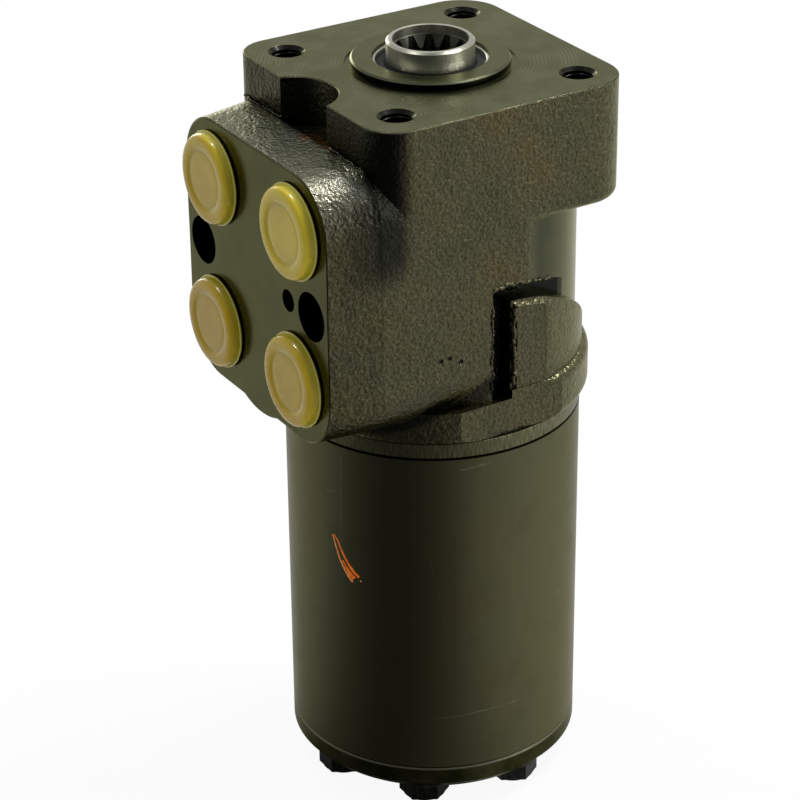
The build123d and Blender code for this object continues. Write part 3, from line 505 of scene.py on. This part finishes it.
# Sand and metal that broke into the mould's seams: thin torn lips where the flange meets the
# port block, and lumpy edges along the right slot and pad. They are part of the casting.
lip_step = 0.00035
arch_reach = 0.047
arch_middle = -0.099
slot_reach = 0.0406
flange_foot_left = [
    (-0.0330, -0.0408, -0.0117),
    (-0.0289, -0.0414, -0.0117),
    (-0.0241, -0.0413, -0.0118),
    (-0.0187, -0.0413, -0.0117),
    (-0.0145, -0.0408, -0.0117),
    (-0.0126, -0.0412, -0.0117),
    (-0.0113, -0.0395, -0.0116),
]
flange_foot_right = [
    (0.0115, -0.0400, -0.0118),
    (0.0122, -0.0410, -0.0118),
    (0.0192, -0.0412, -0.0119),
    (0.0252, -0.0414, -0.0121),
    (0.0303, -0.0412, -0.0126),
]
slot_front = [
    (slot_reach, -0.0059, -0.0825),
    (slot_reach, -0.0060, -0.0645),
    (slot_reach, -0.0060, -0.0526),
]
# The slot's upper edge follows an arch over the pad, and then the round body
slot_top = []
for step in range(-2, 6):
    back = 0.0028 * step
    reach = min(slot_reach, sqrt((body_reach - 0.0001) ** 2 - back**2))
    slot_top.append((reach, back, arch_middle + sqrt(arch_reach**2 - back**2)))
pad_edge = [(0.0413, 0.0008, -0.0815), (0.0413, 0.0009, -0.0714), (0.0413, 0.0008, -0.0590)]
# Each lip: its line, its thickness and how far it wanders
lips = {
    "flange_foot_lip_left": (flange_foot_left, 0.00034, 0.0016),
    "flange_foot_lip_right": (flange_foot_right, 0.00030, 0.0014),
    "slot_front_lip": (slot_front, 0.00045, 0.0026),
    "slot_top_lip": (slot_top, 0.00055, 0.0028),
    "pad_edge_lip": (pad_edge, 0.00080, 0.0026),
}


def start_tree(name, *sizes):
    tree = bpy.data.node_groups.new(name, "GeometryNodeTree")
    tree.interface.new_socket("Geometry", in_out="INPUT", socket_type="NodeSocketGeometry")
    for size in sizes:
        tree.interface.new_socket(size, in_out="INPUT", socket_type="NodeSocketFloat")
    tree.interface.new_socket("Finish", in_out="INPUT", socket_type="NodeSocketMaterial")
    tree.interface.new_socket("Geometry", in_out="OUTPUT", socket_type="NodeSocketGeometry")
    return tree, add_node(tree, "NodeGroupInput").outputs


def end_tree(tree, shape, finish):
    shape = add_node(tree, "GeometryNodeRealizeInstances", {"Geometry": shape}).outputs[0]
    shape = add_node(tree, "GeometryNodeSetMaterial", {"Geometry": shape, "Material": finish}).outputs[0]
    add_node(tree, "NodeGroupOutput", {"Geometry": shape})


# The start piece's edges as a curve with a point at every step
def trace(tree, line, step):
    line = add_node(tree, "GeometryNodeMeshToCurve", {"Mesh": line}).outputs[0]
    inputs = {"Curve": line, "Length": step}
    return add_node(tree, "GeometryNodeResampleCurve", inputs, mode="LENGTH").outputs[0]


# A round section along a curve, closed at both ends, that swells as it goes
def add_bead(tree, line, sides, width, swell):
    inputs = {"Resolution": sides, "Radius": width}
    ring = add_node(tree, "GeometryNodeCurvePrimitiveCircle", inputs).outputs[0]
    inputs = {"Curve": line, "Profile Curve": ring, "Scale": swell, "Fill Caps": True}
    return add_node(tree, "GeometryNodeCurveToMesh", inputs).outputs[0]


def start_piece(name, points):
    mesh = bpy.data.meshes.new(name)
    builder = bmesh.new()
    corners = [builder.verts.new(point) for point in points]
    for first, second in zip(corners, corners[1:]):
        builder.edges.new((first, second))
    builder.to_mesh(mesh)
    builder.free()
    piece = bpy.data.objects.new(name, mesh)
    bpy.context.scene.collection.objects.link(piece)
    return piece


# Runs a tree on a piece once, and keeps its result as a plain mesh
def grow(piece, tree, **values):
    modifier = piece.modifiers.new("growth", "NODES")
    modifier.node_group = tree
    for socket in tree.interface.items_tree:
        if socket.in_out == "INPUT" and socket.name in values:
            modifier[socket.identifier] = values[socket.name]
    piece.update_tag()
    graph = bpy.context.evaluated_depsgraph_get()
    mesh = bpy.data.meshes.new_from_object(piece.evaluated_get(graph))
    piece.modifiers.remove(modifier)
    piece.data = mesh
    mesh.name = piece.name
    builder = bmesh.new()
    builder.from_mesh(mesh)
    bmesh.ops.recalc_face_normals(builder, faces=builder.faces)
    builder.to_mesh(mesh)
    builder.free()


torn_lip, sizes = start_tree("torn_lip", "Thickness", "Wander", "Seed")
line = trace(torn_lip, sizes["Geometry"], lip_step)
spot = add_node(torn_lip, "GeometryNodeInputPosition").outputs[0]
seed = add_node(torn_lip, "ShaderNodeCombineXYZ", {"X": sizes["Seed"]}).outputs[0]
spot = add_vector(torn_lip, "ADD", spot, seed)
grain = {"Vector": spot, "Scale": 420.0, "Detail": 3.0, "Roughness": 0.7}
wander = add_node(torn_lip, "ShaderNodeTexNoise", grain).outputs["Color"]
wander = add_vector(torn_lip, "SUBTRACT", wander, (0.5, 0.5, 0.5))
wander = add_vector(torn_lip, "SCALE", wander, scale=sizes["Wander"])
line = add_node(torn_lip, "GeometryNodeSetPosition", {"Geometry": line, "Offset": wander}).outputs[0]
swell = add_math(torn_lip, "MULTIPLY_ADD", add_noise(torn_lip, spot, 700.0), 2.6, -0.35)
lip = add_bead(torn_lip, line, 7, sizes["Thickness"], swell)
lip = add_node(torn_lip, "GeometryNodeSetShadeSmooth", {"Geometry": lip}).outputs[0]
end_tree(torn_lip, lip, sizes["Finish"])

for turn, (name, (route, thickness, wander)) in enumerate(lips.items()):
    lip = start_piece(name, route)
    grow(lip, torn_lip, Thickness=thickness, Wander=wander, Seed=0.13 * turn, Finish=casting)
    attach(lip, "housing")


# Threads: each of the four mounting holes is tapped for the bolts that hold the unit, so the
# turns of a coarse thread line it. They are cut in the iron of the housing.
thread_bore = 0.00425
thread_pitch = 0.0015
thread_length = 0.0180
thread_crest = 0.00036
thread_foot = -0.0195
sides = (-mount_reach, mount_reach)
hole_middles = [(across, along, thread_foot) for across in sides for along in sides]

thread, sizes = start_tree("thread", "Bore", "Pitch", "Length", "Crest")
helix_sizes = {
    "Resolution": 32,
    "Rotations": add_math(thread, "DIVIDE", sizes["Length"], sizes["Pitch"]),
    "Start Radius": sizes["Bore"],
    "End Radius": sizes["Bore"],
    "Height": sizes["Length"],
}
helix = add_node(thread, "GeometryNodeCurveSpiral", helix_sizes).outputs[0]
turns = add_bead(thread, helix, 4, sizes["Crest"], 1.0)
spots = add_node(thread, "GeometryNodeMeshToPoints", {"Mesh": sizes["Geometry"]}).outputs[0]
turns = add_node(thread, "GeometryNodeInstanceOnPoints", {"Points": spots, "Instance": turns}).outputs[0]
end_tree(thread, turns, sizes["Finish"])

threads = start_piece("mounting_threads", hole_middles)
thread_sizes = {"Bore": thread_bore, "Pitch": thread_pitch, "Length": thread_length, "Crest": thread_crest}
grow(threads, thread, **thread_sizes, Finish=casting)
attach(threads, "housing")


# Spool: ground and polished steel, of which only the splined collar shows in the middle of the
# mounting face. Sleeve, cardan shaft, rotor and spacer inside are ground steel too.
steel_tones = [(0.3, (0.44, 0.44, 0.35)), (0.7, (0.64, 0.64, 0.53))]
collar_bore_shade = (0.022, 0.024, 0.016)
collar_wall = 0.01068
collar_top = 0.0066

ground_steel, tree, shader = start_material("ground_steel")
place, axes = object_place(tree)
radius = add_distance(tree, axes["X"], axes["Y"])
angle = add_math(tree, "ARCTAN2", axes["Y"], axes["X"])
turn_and_height = {"X": add_product(tree, angle, 12.0), "Y": add_product(tree, axes["Z"], 9000.0)}
wrapped = add_node(tree, "ShaderNodeCombineXYZ", turn_and_height).outputs[0]
streaks = add_noise(tree, wrapped, 1.0, 3.0, 0.6)
steel_colour = add_ramp(tree, add_noise(tree, place, 190.0, 3.0, 0.6), steel_tones)
# Painted shade: the collar's bore is painted dark
inside = add_zone(tree, (radius, collar_wall, 0.0106), (axes["Z"], collar_top, 0.0060))
steel_colour = mix_colours(tree, add_product(tree, inside, 0.86), steel_colour, collar_bore_shade)
ground_finish = {
    "Base Color": steel_colour,
    "Metallic": 1.0,
    "Roughness": add_math(tree, "MULTIPLY_ADD", streaks, 0.25, 0.18),
    "Anisotropic": 0.75,
    "Anisotropic Rotation": 0.25,
    "Tangent": add_node(tree, "ShaderNodeTangent", direction_type="RADIAL", axis="Z").outputs[0],
    "Normal": add_bump(tree, streaks, 0.00002, 0.8),
}
fill(tree, shader, ground_finish)
dress(["spool", "sleeve", "cardan_shaft", "rotor", "rotor_spacer"], ground_steel)
dress(["cross_pin", "check_seat", "bearing_cage"], ground_steel)


# Seals: black nitrile rubber rings. The dust seal sits in the spigot around the spool's neck,
# the others lie hidden in the faces of the stack.
rubber_tones = [(0.3, (0.004, 0.005, 0.004)), (0.7, (0.012, 0.013, 0.011))]

rubber, tree, shader = start_material("nitrile_rubber")
place, axes = object_place(tree)
skin = add_noise(tree, place, 900.0, 3.0, 0.6)
rubber_finish = {
    "Base Color": add_ramp(tree, skin, rubber_tones),
    "Metallic": 0.0,
    "Roughness": add_math(tree, "MULTIPLY_ADD", skin, 0.3, 0.3),
    "Specular IOR Level": 0.2,
    "Normal": add_bump(tree, skin, 0.00005, 0.4),
}
fill(tree, shader, rubber_finish)
dress(["dust_seal", "seal_energiser", "housing_seal", "plate_seal", "cover_seal"], rubber)


# Casing of the dust seal: a thin ring of drawn sheet steel at its outer rim, pressed into the
# spigot's bore. Its round lip shows as a pale line around the dark rubber.
casing_segments = 128
# Section of the ring: distance from its axis, and height
casing_outline = [
    (0.01545, 0.00040),
    (0.01545, 0.00112),
    (0.01562, 0.00128),
    (0.01590, 0.00132),
    (0.01618, 0.00126),
    (0.01634, 0.00108),
    (0.01634, 0.00040),
]


# Turns an outline around an axis. An outline that starts off the axis is closed into a ring.
def lathe(name, outline, middle, axis, segments, material):
    side = Vector((1.0, 0.0, 0.0))
    other = axis.cross(side)
    builder = bmesh.new()
    rings = []
    for reach, height in outline:
        ring = []
        for step in range(segments if reach > 0.0 else 1):
            turn = 2.0 * pi * step / segments
            out = (side * cos(turn) + other * sin(turn)) * reach
            ring.append(builder.verts.new(middle + axis * height + out))
        rings.append(ring)
    pairs = list(zip(rings, rings[1:]))
    if outline[0][0] > 0.0:
        pairs.append((rings[-1], rings[0]))
    for first, second in pairs:
        for step in range(segments):
            after = (step + 1) % segments
            loop = [first[step % len(first)], first[after % len(first)]]
            loop += [second[after % len(second)], second[step % len(second)]]
            builder.faces.new(list(dict.fromkeys(loop)))
    bmesh.ops.recalc_face_normals(builder, faces=builder.faces)
    for face in builder.faces:
        face.smooth = True
    mesh = bpy.data.meshes.new(name)
    builder.to_mesh(mesh)
    builder.free()
    mesh.set_sharp_from_angle(angle=radians(40.0))
    mesh.materials.append(material)
    piece = bpy.data.objects.new(name, mesh)
    bpy.context.scene.collection.objects.link(piece)
    return piece


unit_middle = Vector((0.0, 0.0, 0.0))
upward = Vector((0.0, 0.0, 1.0))
seal_casing = lathe("seal_casing", casing_outline, unit_middle, upward, casing_segments, ground_steel)
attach(seal_casing, "housing")


# Slide ring: bronze-filled plastic, pressed on the spool's neck by the rubber ring behind it.
# Both lie in a groove of the housing's neck bore, and keep the oil in.
slide_tones = [(0.4, (0.16, 0.1, 0.05)), (0.7, (0.32, 0.2, 0.1))]

slide_plastic, tree, shader = start_material("bronze_filled_plastic")
place, axes = object_place(tree)
slide_colour = add_ramp(tree, add_noise(tree, place, 2500.0, 2.0, 0.6), slide_tones)
fill(tree, shader, {"Base Color": slide_colour, "Metallic": 0.1, "Roughness": 0.4})
dress(["shaft_seal"], slide_plastic)


# Axial bearing and ball: hardened races and needles over the valve set, ground and polished, and
# the ball of the check valve.
polished_steel = (0.62, 0.62, 0.6, 1.0)

bearing_steel, tree, shader = start_material("polished_bearing_steel")
place, axes = object_place(tree)
haze = add_math(tree, "MULTIPLY_ADD", add_noise(tree, place, 500.0, 3.0, 0.6), 0.15, 0.06)
fill(tree, shader, {"Base Color": polished_steel, "Metallic": 1.0, "Roughness": haze})
dress(["bearing_upper_race", "bearing_lower_race", "bearing_needles", "check_ball"], bearing_steel)


# Spring steel: blued leaves between spool and sleeve, the ring around them, and the pin, rolled
# from strip, that stands in the end of the check screw under the ball.
bluing_tones = [(0.3, (0.12, 0.14, 0.2)), (0.7, (0.3, 0.28, 0.26))]

spring_steel, tree, shader = start_material("blued_spring_steel")
place, axes = object_place(tree)
blued = add_ramp(tree, add_noise(tree, place, 260.0), bluing_tones)
fill(tree, shader, {"Base Color": blued, "Metallic": 1.0, "Roughness": 0.3})
dress(["spring_ring", "centring_springs", "rolled_pin"], spring_steel)


# Distributor plate: a thin disc of steel, ground on both faces, with a turned rim that carries
# fine upright marks. The two seams, above and below it, are painted dark: painted shade.
plate_low, plate_high = (corner[2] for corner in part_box("distributor_plate"))
disc_tones = [(0.3, (0.065, 0.064, 0.028)), (0.5, (0.150, 0.147, 0.076)), (0.74, (0.31, 0.30, 0.19))]
seam_painted_shade = (0.006, 0.006, 0.004)

turned_disc, tree, shader = start_material("turned_disc")
place, axes = object_place(tree)
angle = add_math(tree, "ARCTAN2", axes["Y"], axes["X"])
turn_and_height = {"X": add_product(tree, angle, 48.0), "Y": add_product(tree, axes["Z"], 110.0)}
wrapped = add_node(tree, "ShaderNodeCombineXYZ", turn_and_height).outputs[0]
upright = add_noise(tree, wrapped, 2.2, 4.0, 0.75)
# Painted shade along the seams above and below the plate
seams = add_largest(
    tree,
    add_step(tree, axes["Z"], plate_low + 0.0007, plate_low + 0.0003),
    add_step(tree, axes["Z"], plate_high - 0.0005, plate_high - 0.0002),
)
disc_finish = {
    "Base Color": mix_colours(tree, seams, add_ramp(tree, upright, disc_tones), seam_painted_shade),
    "Metallic": 1.0,
    "Roughness": add_math(tree, "MULTIPLY_ADD", upright, 0.3, 0.25),
    "Normal": add_bump(tree, upright, 0.00008, 0.5),
}
fill(tree, shader, disc_finish)
dress(["distributor_plate"], turned_disc)


# Gear rim and end cover: ground steel, blackened and oiled. Handling has left shallow scratches
# and wiped patches on the long drum. The seam to the cover is a dark line of painted shade over a bright
# line of painted highlight.
drum_radius = 0.04307
rim_low, rim_high = (corner[2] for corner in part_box("gear_rim"))
drum_tones = [(0.32, (0.122, 0.132, 0.076)), (0.5, (0.138, 0.133, 0.071)), (0.68, (0.155, 0.136, 0.066))]
cover_tones = [(0.35, (0.030, 0.032, 0.010)), (0.65, (0.085, 0.082, 0.036))]
wiped_brown = (0.112, 0.102, 0.050)
grain_shade = (0.085, 0.085, 0.048)
scratch_bright = (0.30, 0.29, 0.22)
chamfer_painted_highlight = (0.28, 0.27, 0.20)
# Each scratch: its corners as degrees around the drum and millimetres of height, its width in
# millimetres, and how strongly it shows
scratches = [
    ([(-69.2, -105.1), (-69.6, -118.0), (-70.0, -129.4)], 0.30, 0.35),
    ([(-31.4, -188.3), (-22.0, -187.7), (-13.9, -187.0), (-5.3, -186.9), (4.1, -186.9)], 0.28, 0.50),
    ([(-21.3, -105.5), (-16.3, -105.0), (-10.3, -104.3)], 0.35, 0.60),
    ([(-104.5, -141.4), (-101.0, -143.6), (-95.7, -145.3)], 0.40, 0.45),
    ([(-103.0, -133.0), (-101.8, -138.5), (-100.0, -143.5)], 0.30, 0.40),
    ([(-76.9, -118.2), (-73.5, -117.5), (-70.1, -117.3)], 0.35, 0.35),
    ([(24.8, -157.5), (28.0, -157.4)], 0.30, 0.45),
    ([(-33.4, -133.6), (-31.9, -139.0)], 0.22, 0.40),
    ([(-30.6, -143.9), (-29.4, -149.1)], 0.22, 0.40),
    ([(-28.5, -152.8), (-27.0, -158.4)], 0.22, 0.40),
    ([(96.0, -128.0), (104.0, -133.5)], 0.30, 0.45),
    ([(150.0, -160.0), (153.0, -174.0)], 0.30, 0.40),
    ([(-160.0, -150.0), (-152.0, -151.5)], 0.30, 0.45),
]


# A point of the drum's side laid flat: arc length from the +X side, and height
def flat_point(degrees_around, millimetres_up):
    return Vector((radians(degrees_around) * drum_radius, millimetres_up / 1000.0, 0.0))


# Share of a straight scratch at a point of the flat side
def add_scratch(tree, flat, start, end, width):
    run = end - start
    from_start = add_vector(tree, "SUBTRACT", flat, start)
    along = add_vector(tree, "DOT_PRODUCT", from_start, run / run.length_squared)
    nearest = add_vector(tree, "SCALE", run, scale=add_math(tree, "ADD", along, 0.0, clamp=True))
    return add_step(tree, add_vector(tree, "DISTANCE", from_start, nearest), width, width * 0.3)


# The object's coordinates squeezed in height, so that grain drawn with them stands upright
def stretched(tree, place, height_share):
    inputs = {"Vector": place, "Scale": (1.0, 1.0, height_share)}
    return add_node(tree, "ShaderNodeMapping", inputs).outputs[0]


blackened, tree, shader = start_material("blackened_drum")
place, axes = object_place(tree)
angle = add_math(tree, "ARCTAN2", axes["Y"], axes["X"])
arc_and_height = {"X": add_product(tree, angle, drum_radius), "Y": axes["Z"]}
flat = add_node(tree, "ShaderNodeCombineXYZ", arc_and_height).outputs[0]
broad = add_noise(tree, stretched(tree, place, 0.45), 30.0, 4.0, 0.6)
wiped = add_noise(tree, place, 75.0, 4.0, 0.65)
fine = add_noise(tree, stretched(tree, place, 0.05), 1300.0, 2.0, 0.6)
drum_colour = add_ramp(tree, broad, drum_tones)
wiped_share = add_product(tree, add_step(tree, wiped, 0.5, 0.72), 0.4)
drum_colour = mix_colours(tree, wiped_share, drum_colour, wiped_brown)
drum_colour = mix_colours(tree, add_product(tree, fine, 0.22), drum_colour, grain_shade)
radius = add_distance(tree, axes["X"], axes["Y"])
side = add_step(tree, radius, drum_radius - 0.0004, drum_radius - 0.0002)
broken = add_step(tree, add_noise(tree, place, 420.0, 3.0, 0.7), 0.36, 0.56)
for corners, width, strength in scratches:
    for start, end in zip(corners, corners[1:]):
        scratch = add_scratch(tree, flat, flat_point(*start), flat_point(*end), width / 1000.0)
        scratch = add_product(tree, scratch, broken, side, strength)
        drum_colour = mix_colours(tree, scratch, drum_colour, scratch_bright)
# Painted shade along the seams at both ends of the rim
low_seam = add_zone(
    tree,
    (axes["Z"], rim_low - 0.0001, rim_low),
    (axes["Z"], rim_low + 0.0006, rim_low + 0.0003),
)
seams = add_largest(tree, low_seam, add_step(tree, axes["Z"], rim_high - 0.0005, rim_high - 0.0002))
drum_colour = mix_colours(tree, seams, drum_colour, seam_painted_shade)
# Painted highlight: a bright line along the cover's edge, just under the seam
cover_edge_highlight = add_zone(
    tree,
    (axes["Z"], rim_low - 0.0009, rim_low - 0.0006),
    (axes["Z"], rim_low, rim_low - 0.0001),
)
drum_colour = mix_colours(tree, add_product(tree, cover_edge_highlight, 0.55), drum_colour, chamfer_painted_highlight)
on_cover = add_step(tree, axes["Z"], rim_low - 0.0007, rim_low - 0.0009)
drum_finish = {
    "Base Color": mix_colours(tree, on_cover, drum_colour, add_ramp(tree, wiped, cover_tones)),
    "Metallic": 1.0,
    "Roughness": add_math(tree, "MULTIPLY_ADD", wiped, 0.16, 0.22),
    "Specular Tint": (0.70, 0.70, 0.62, 1.0),
    "Normal": add_bump(tree, fine, 0.00001, 0.5),
}
fill(tree, shader, drum_finish)
dress(["gear_rim", "end_cover"], blackened)


# Paint mark: two quick strokes of an orange marker that run together at their foot. The dried
# paint lies thin on the drum, paler along its edges than in its wet middle.
wet_tones = [(0.3, (0.60, 0.085, 0.002)), (0.7, (0.85, 0.20, 0.006))]
pale_tones = [(0.3, (0.62, 0.17, 0.02)), (0.7, (0.85, 0.36, 0.10))]
stroke_step = 0.0003
stroke_flatness = 0.82
# Each line as degrees around the drum and millimetres of height
left_edge = [(-74.2, -131.9), (-73.7, -132.8), (-72.7, -135.1), (-71.3, -138.1)]
left_edge += [(-69.8, -140.4), (-68.0, -142.5), (-66.1, -144.4), (-64.7, -145.4)]
right_edge = [(-73.6, -131.8), (-71.6, -133.2), (-70.2, -135.5), (-68.3, -138.0)]
right_edge += [(-66.0, -140.4), (-63.7, -142.2), (-61.7, -143.2)]
middle_line = [(-69.4, -139.2), (-67.6, -141.2), (-65.6, -143.0), (-63.9, -144.1)]
tiny_spot = [(-61.2, -144.2), (-60.9, -144.5)]

marker_paint, tree, shader = start_material("orange_marker_paint")
place, axes = object_place(tree)
thick = add_noise(tree, place, 900.0, 3.0, 0.6)
wet_finish = {
    "Base Color": add_ramp(tree, thick, wet_tones),
    "Metallic": 0.0,
    "Roughness": 0.45,
    "Specular IOR Level": 0.15,
    "Normal": add_bump(tree, thick, 0.00006),
}
fill(tree, shader, wet_finish)
pale_paint, tree, shader = start_material("pale_paint_edge")
place, axes = object_place(tree)
pale_finish = {
    "Base Color": add_ramp(tree, add_noise(tree, place, 1200.0, 3.0, 0.6), pale_tones),
    "Metallic": 0.0,
    "Roughness": 0.5,
    "Specular IOR Level": 0.15,
}
fill(tree, shader, pale_finish)

brush_stroke, sizes = start_tree("brush_stroke", "Width", "Spread", "Flatness", "Drum")
line = trace(brush_stroke, sizes["Geometry"], stroke_step)
along = add_node(brush_stroke, "GeometryNodeSplineParameter").outputs["Factor"]
spot = add_node(brush_stroke, "GeometryNodeInputPosition").outputs[0]
ragged = add_math(brush_stroke, "MULTIPLY_ADD", add_noise(brush_stroke, spot, 900.0), 0.8, 0.6)
swell = add_math(brush_stroke, "MULTIPLY_ADD", along, sizes["Spread"], ragged)
stroke = add_bead(brush_stroke, line, 12, sizes["Width"], swell)
# Pressed flat against the drum: what stands off it shrinks, and nothing else moves
level = add_vector(brush_stroke, "MULTIPLY", spot, (1.0, 1.0, 0.0))
off_drum = add_math(brush_stroke, "SUBTRACT", sizes["Drum"], add_vector(brush_stroke, "LENGTH", level))
back = add_math(brush_stroke, "MULTIPLY", off_drum, sizes["Flatness"])
press = add_vector(brush_stroke, "SCALE", add_vector(brush_stroke, "NORMALIZE", level), scale=back)
pressed = {"Geometry": stroke, "Offset": press}
stroke = add_node(brush_stroke, "GeometryNodeSetPosition", pressed).outputs[0]
stroke = add_node(brush_stroke, "GeometryNodeSetShadeSmooth", {"Geometry": stroke}).outputs[0]
end_tree(brush_stroke, stroke, sizes["Finish"])

# Each stroke: its line, its width, how much it spreads towards its end, and its paint
strokes = {
    "paint_middle": (middle_line, 0.00022, 3.0, marker_paint),
    "paint_left_edge": (left_edge, 0.00022, 0.7, pale_paint),
    "paint_right_edge": (right_edge, 0.00030, 0.7, marker_paint),
    "paint_spot": (tiny_spot, 0.00024, 0.2, pale_paint),
}
for name, (line, width, spread, paint) in strokes.items():
    route = []
    for turn, up in line:
        route.append((cos(radians(turn)) * drum_radius, sin(radians(turn)) * drum_radius, up / 1000.0))
    stroke = start_piece(name, route)
    stroke_sizes = {"Width": width, "Spread": spread, "Flatness": stroke_flatness, "Drum": drum_radius}
    grow(stroke, brush_stroke, **stroke_sizes, Finish=paint)
    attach(stroke, "housing")


# Cover screws with their washers: black oxide screws with hexagon heads on plain steel washers.
# Seven of them hold end cover, gear rim and distributor plate to the housing.
oxide_tones = [(0.35, (0.006, 0.006, 0.005)), (0.7, (0.028, 0.027, 0.022))]
washer_tones = [(0.3, (0.02, 0.02, 0.014)), (0.7, (0.08, 0.076, 0.055))]

black_screw, tree, shader = start_material("black_oxide_screw")
place, axes = object_place(tree)
wear = add_noise(tree, place, 700.0, 3.0, 0.6)
screw_finish = {
    "Base Color": add_ramp(tree, wear, oxide_tones),
    "Metallic": 0.8,
    "Roughness": add_math(tree, "MULTIPLY_ADD", wear, 0.3, 0.25),
    "Normal": add_bump(tree, wear, 0.00006, 0.4),
}
fill(tree, shader, screw_finish)
dress(["cover_screws", "check_screw"], black_screw)

washer_steel, tree, shader = start_material("washer_steel")
place, axes = object_place(tree)
dull = add_noise(tree, place, 400.0, 3.0, 0.6)
washer_finish = {
    "Base Color": add_ramp(tree, dull, washer_tones),
    "Metallic": 0.9,
    "Roughness": add_math(tree, "MULTIPLY_ADD", dull, 0.3, 0.25),
}
fill(tree, shader, washer_finish)
dress(["screw_washers"], washer_steel)


# Port caps: moulded from soft, slightly cloudy yellow polyethylene, and pushed into the ports to
# keep dirt out. Each is a shallow cup with a thin back lip, a round edge and a sunk middle.
cap_tones = [(0.0, (0.54, 0.415, 0.024)), (0.5, (0.42, 0.285, 0.008)), (1.0, (0.39, 0.245, 0.006))]
skirt_green = (0.30, 0.28, 0.012)
lip_pale = (0.56, 0.50, 0.16)
groove_darker_tone = (0.34, 0.26, 0.012)
cap_segments = 160
# Section from the middle of the front to the middle of the hollow: distance from the cap's axis,
# and height over the port face
cap_outline = [
    (0.0, 0.00340), (0.00300, 0.00341), (0.00600, 0.00343), (0.00740, 0.00344), (0.00790, 0.00336),
    (0.00825, 0.00334), (0.00860, 0.00344), (0.00905, 0.00370), (0.00950, 0.00384), (0.01020, 0.00389),
    (0.01110, 0.00388), (0.01180, 0.00378), (0.01235, 0.00352), (0.01270, 0.00312), (0.01290, 0.00262),
    (0.01303, 0.00200), (0.01314, 0.00140), (0.01320, 0.00112), (0.01345, 0.00108), (0.01358, 0.00096),
    (0.01360, 0.00080), (0.01354, 0.00060), (0.01340, 0.00051), (0.01250, 0.00050), (0.00920, 0.00050),
    (0.00918, -0.00760), (0.00890, -0.00800), (0.00800, -0.00800), (0.00780, -0.00780),
    (0.00780, 0.00200), (0.0, 0.00200),
]
# What is left of the moulding gate: a small nub on each cap's side
nub_turn = radians(-12.0)
nub_reach = 0.0131
nub_height = 0.0021
nub_radius = 0.0011
nub_rise = 0.00042

cap_plastic, tree, shader = start_material("cloudy_yellow_plastic")
place, axes = object_place(tree)
cloud = add_noise(tree, place, 110.0, 3.0, 0.55)
# The caps grow warmer in colour towards the lower left
warm = add_math(tree, "MULTIPLY_ADD", axes["X"], -7.0, add_math(tree, "MULTIPLY", axes["Z"], -9.0))
warm = add_math(tree, "ADD", warm, -0.35)
warm = add_math(tree, "MULTIPLY_ADD", cloud, 0.6, warm, clamp=True)
cap_colour = add_ramp(tree, warm, cap_tones)
# The thin outer wall lets green-yellow light through, and the groove of the face is painted darker
front = add_math(tree, "MULTIPLY", axes["Y"], -1.0)
skirt = add_step(tree, front, 0.0606, 0.0592)
cap_colour = mix_colours(tree, add_product(tree, skirt, 0.65), cap_colour, skirt_green)
lip_line = add_step(tree, front, 0.05830, 0.05822)
cap_colour = mix_colours(tree, add_product(tree, lip_line, 0.6), cap_colour, lip_pale)
row_height = add_math(tree, "ABSOLUTE", add_math(tree, "SUBTRACT", axes["Z"], port_middle))
side_width = add_math(tree, "ABSOLUTE", axes["X"])
from_middle = add_distance(tree, side_width, row_height, port_reach, port_reach)
groove = add_zone(tree, (from_middle, 0.0074, 0.0082), (from_middle, 0.0096, 0.0088))
cap_colour = mix_colours(tree, add_product(tree, groove, 0.4), cap_colour, groove_darker_tone)
cap_finish = {
    "Base Color": cap_colour,
    "Metallic": 0.0,
    "Roughness": add_math(tree, "MULTIPLY_ADD", cloud, 0.16, 0.20),
    "Specular IOR Level": 0.25,
    "Subsurface Weight": 0.3,
    "Subsurface Radius": (0.004, 0.003, 0.001),
    "Subsurface Scale": 1.0,
    "Coat Weight": 0.4,
    "Coat Roughness": 0.1,
    "Normal": add_bump(tree, add_noise(tree, place, 260.0), 0.00025, 0.35),
}
fill(tree, shader, cap_finish)

outward = Vector((0.0, -1.0, 0.0))
nub_way = Vector((cos(nub_turn), 0.0, sin(nub_turn)))
for row, row_side in (("upper", port_reach), ("lower", -port_reach)):
    for side_name, across in (("left", -port_reach), ("right", port_reach)):
        name = f"{row}_{side_name}_cap"
        middle = Vector((across, -port_face, port_middle + row_side))
        cap = lathe(f"{name}_moulding", cap_outline, middle, outward, cap_segments, cap_plastic)
        gate = middle + nub_way * nub_reach + outward * nub_height
        for corner in cap.data.vertices:
            away = (corner.co - gate).length
            if away < nub_radius:
                from_axis = (corner.co - middle) - outward * (corner.co - middle).dot(outward)
                corner.co += from_axis.normalized() * nub_rise * (1.0 - (away / nub_radius) ** 2)
        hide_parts(name)
        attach(cap, name)
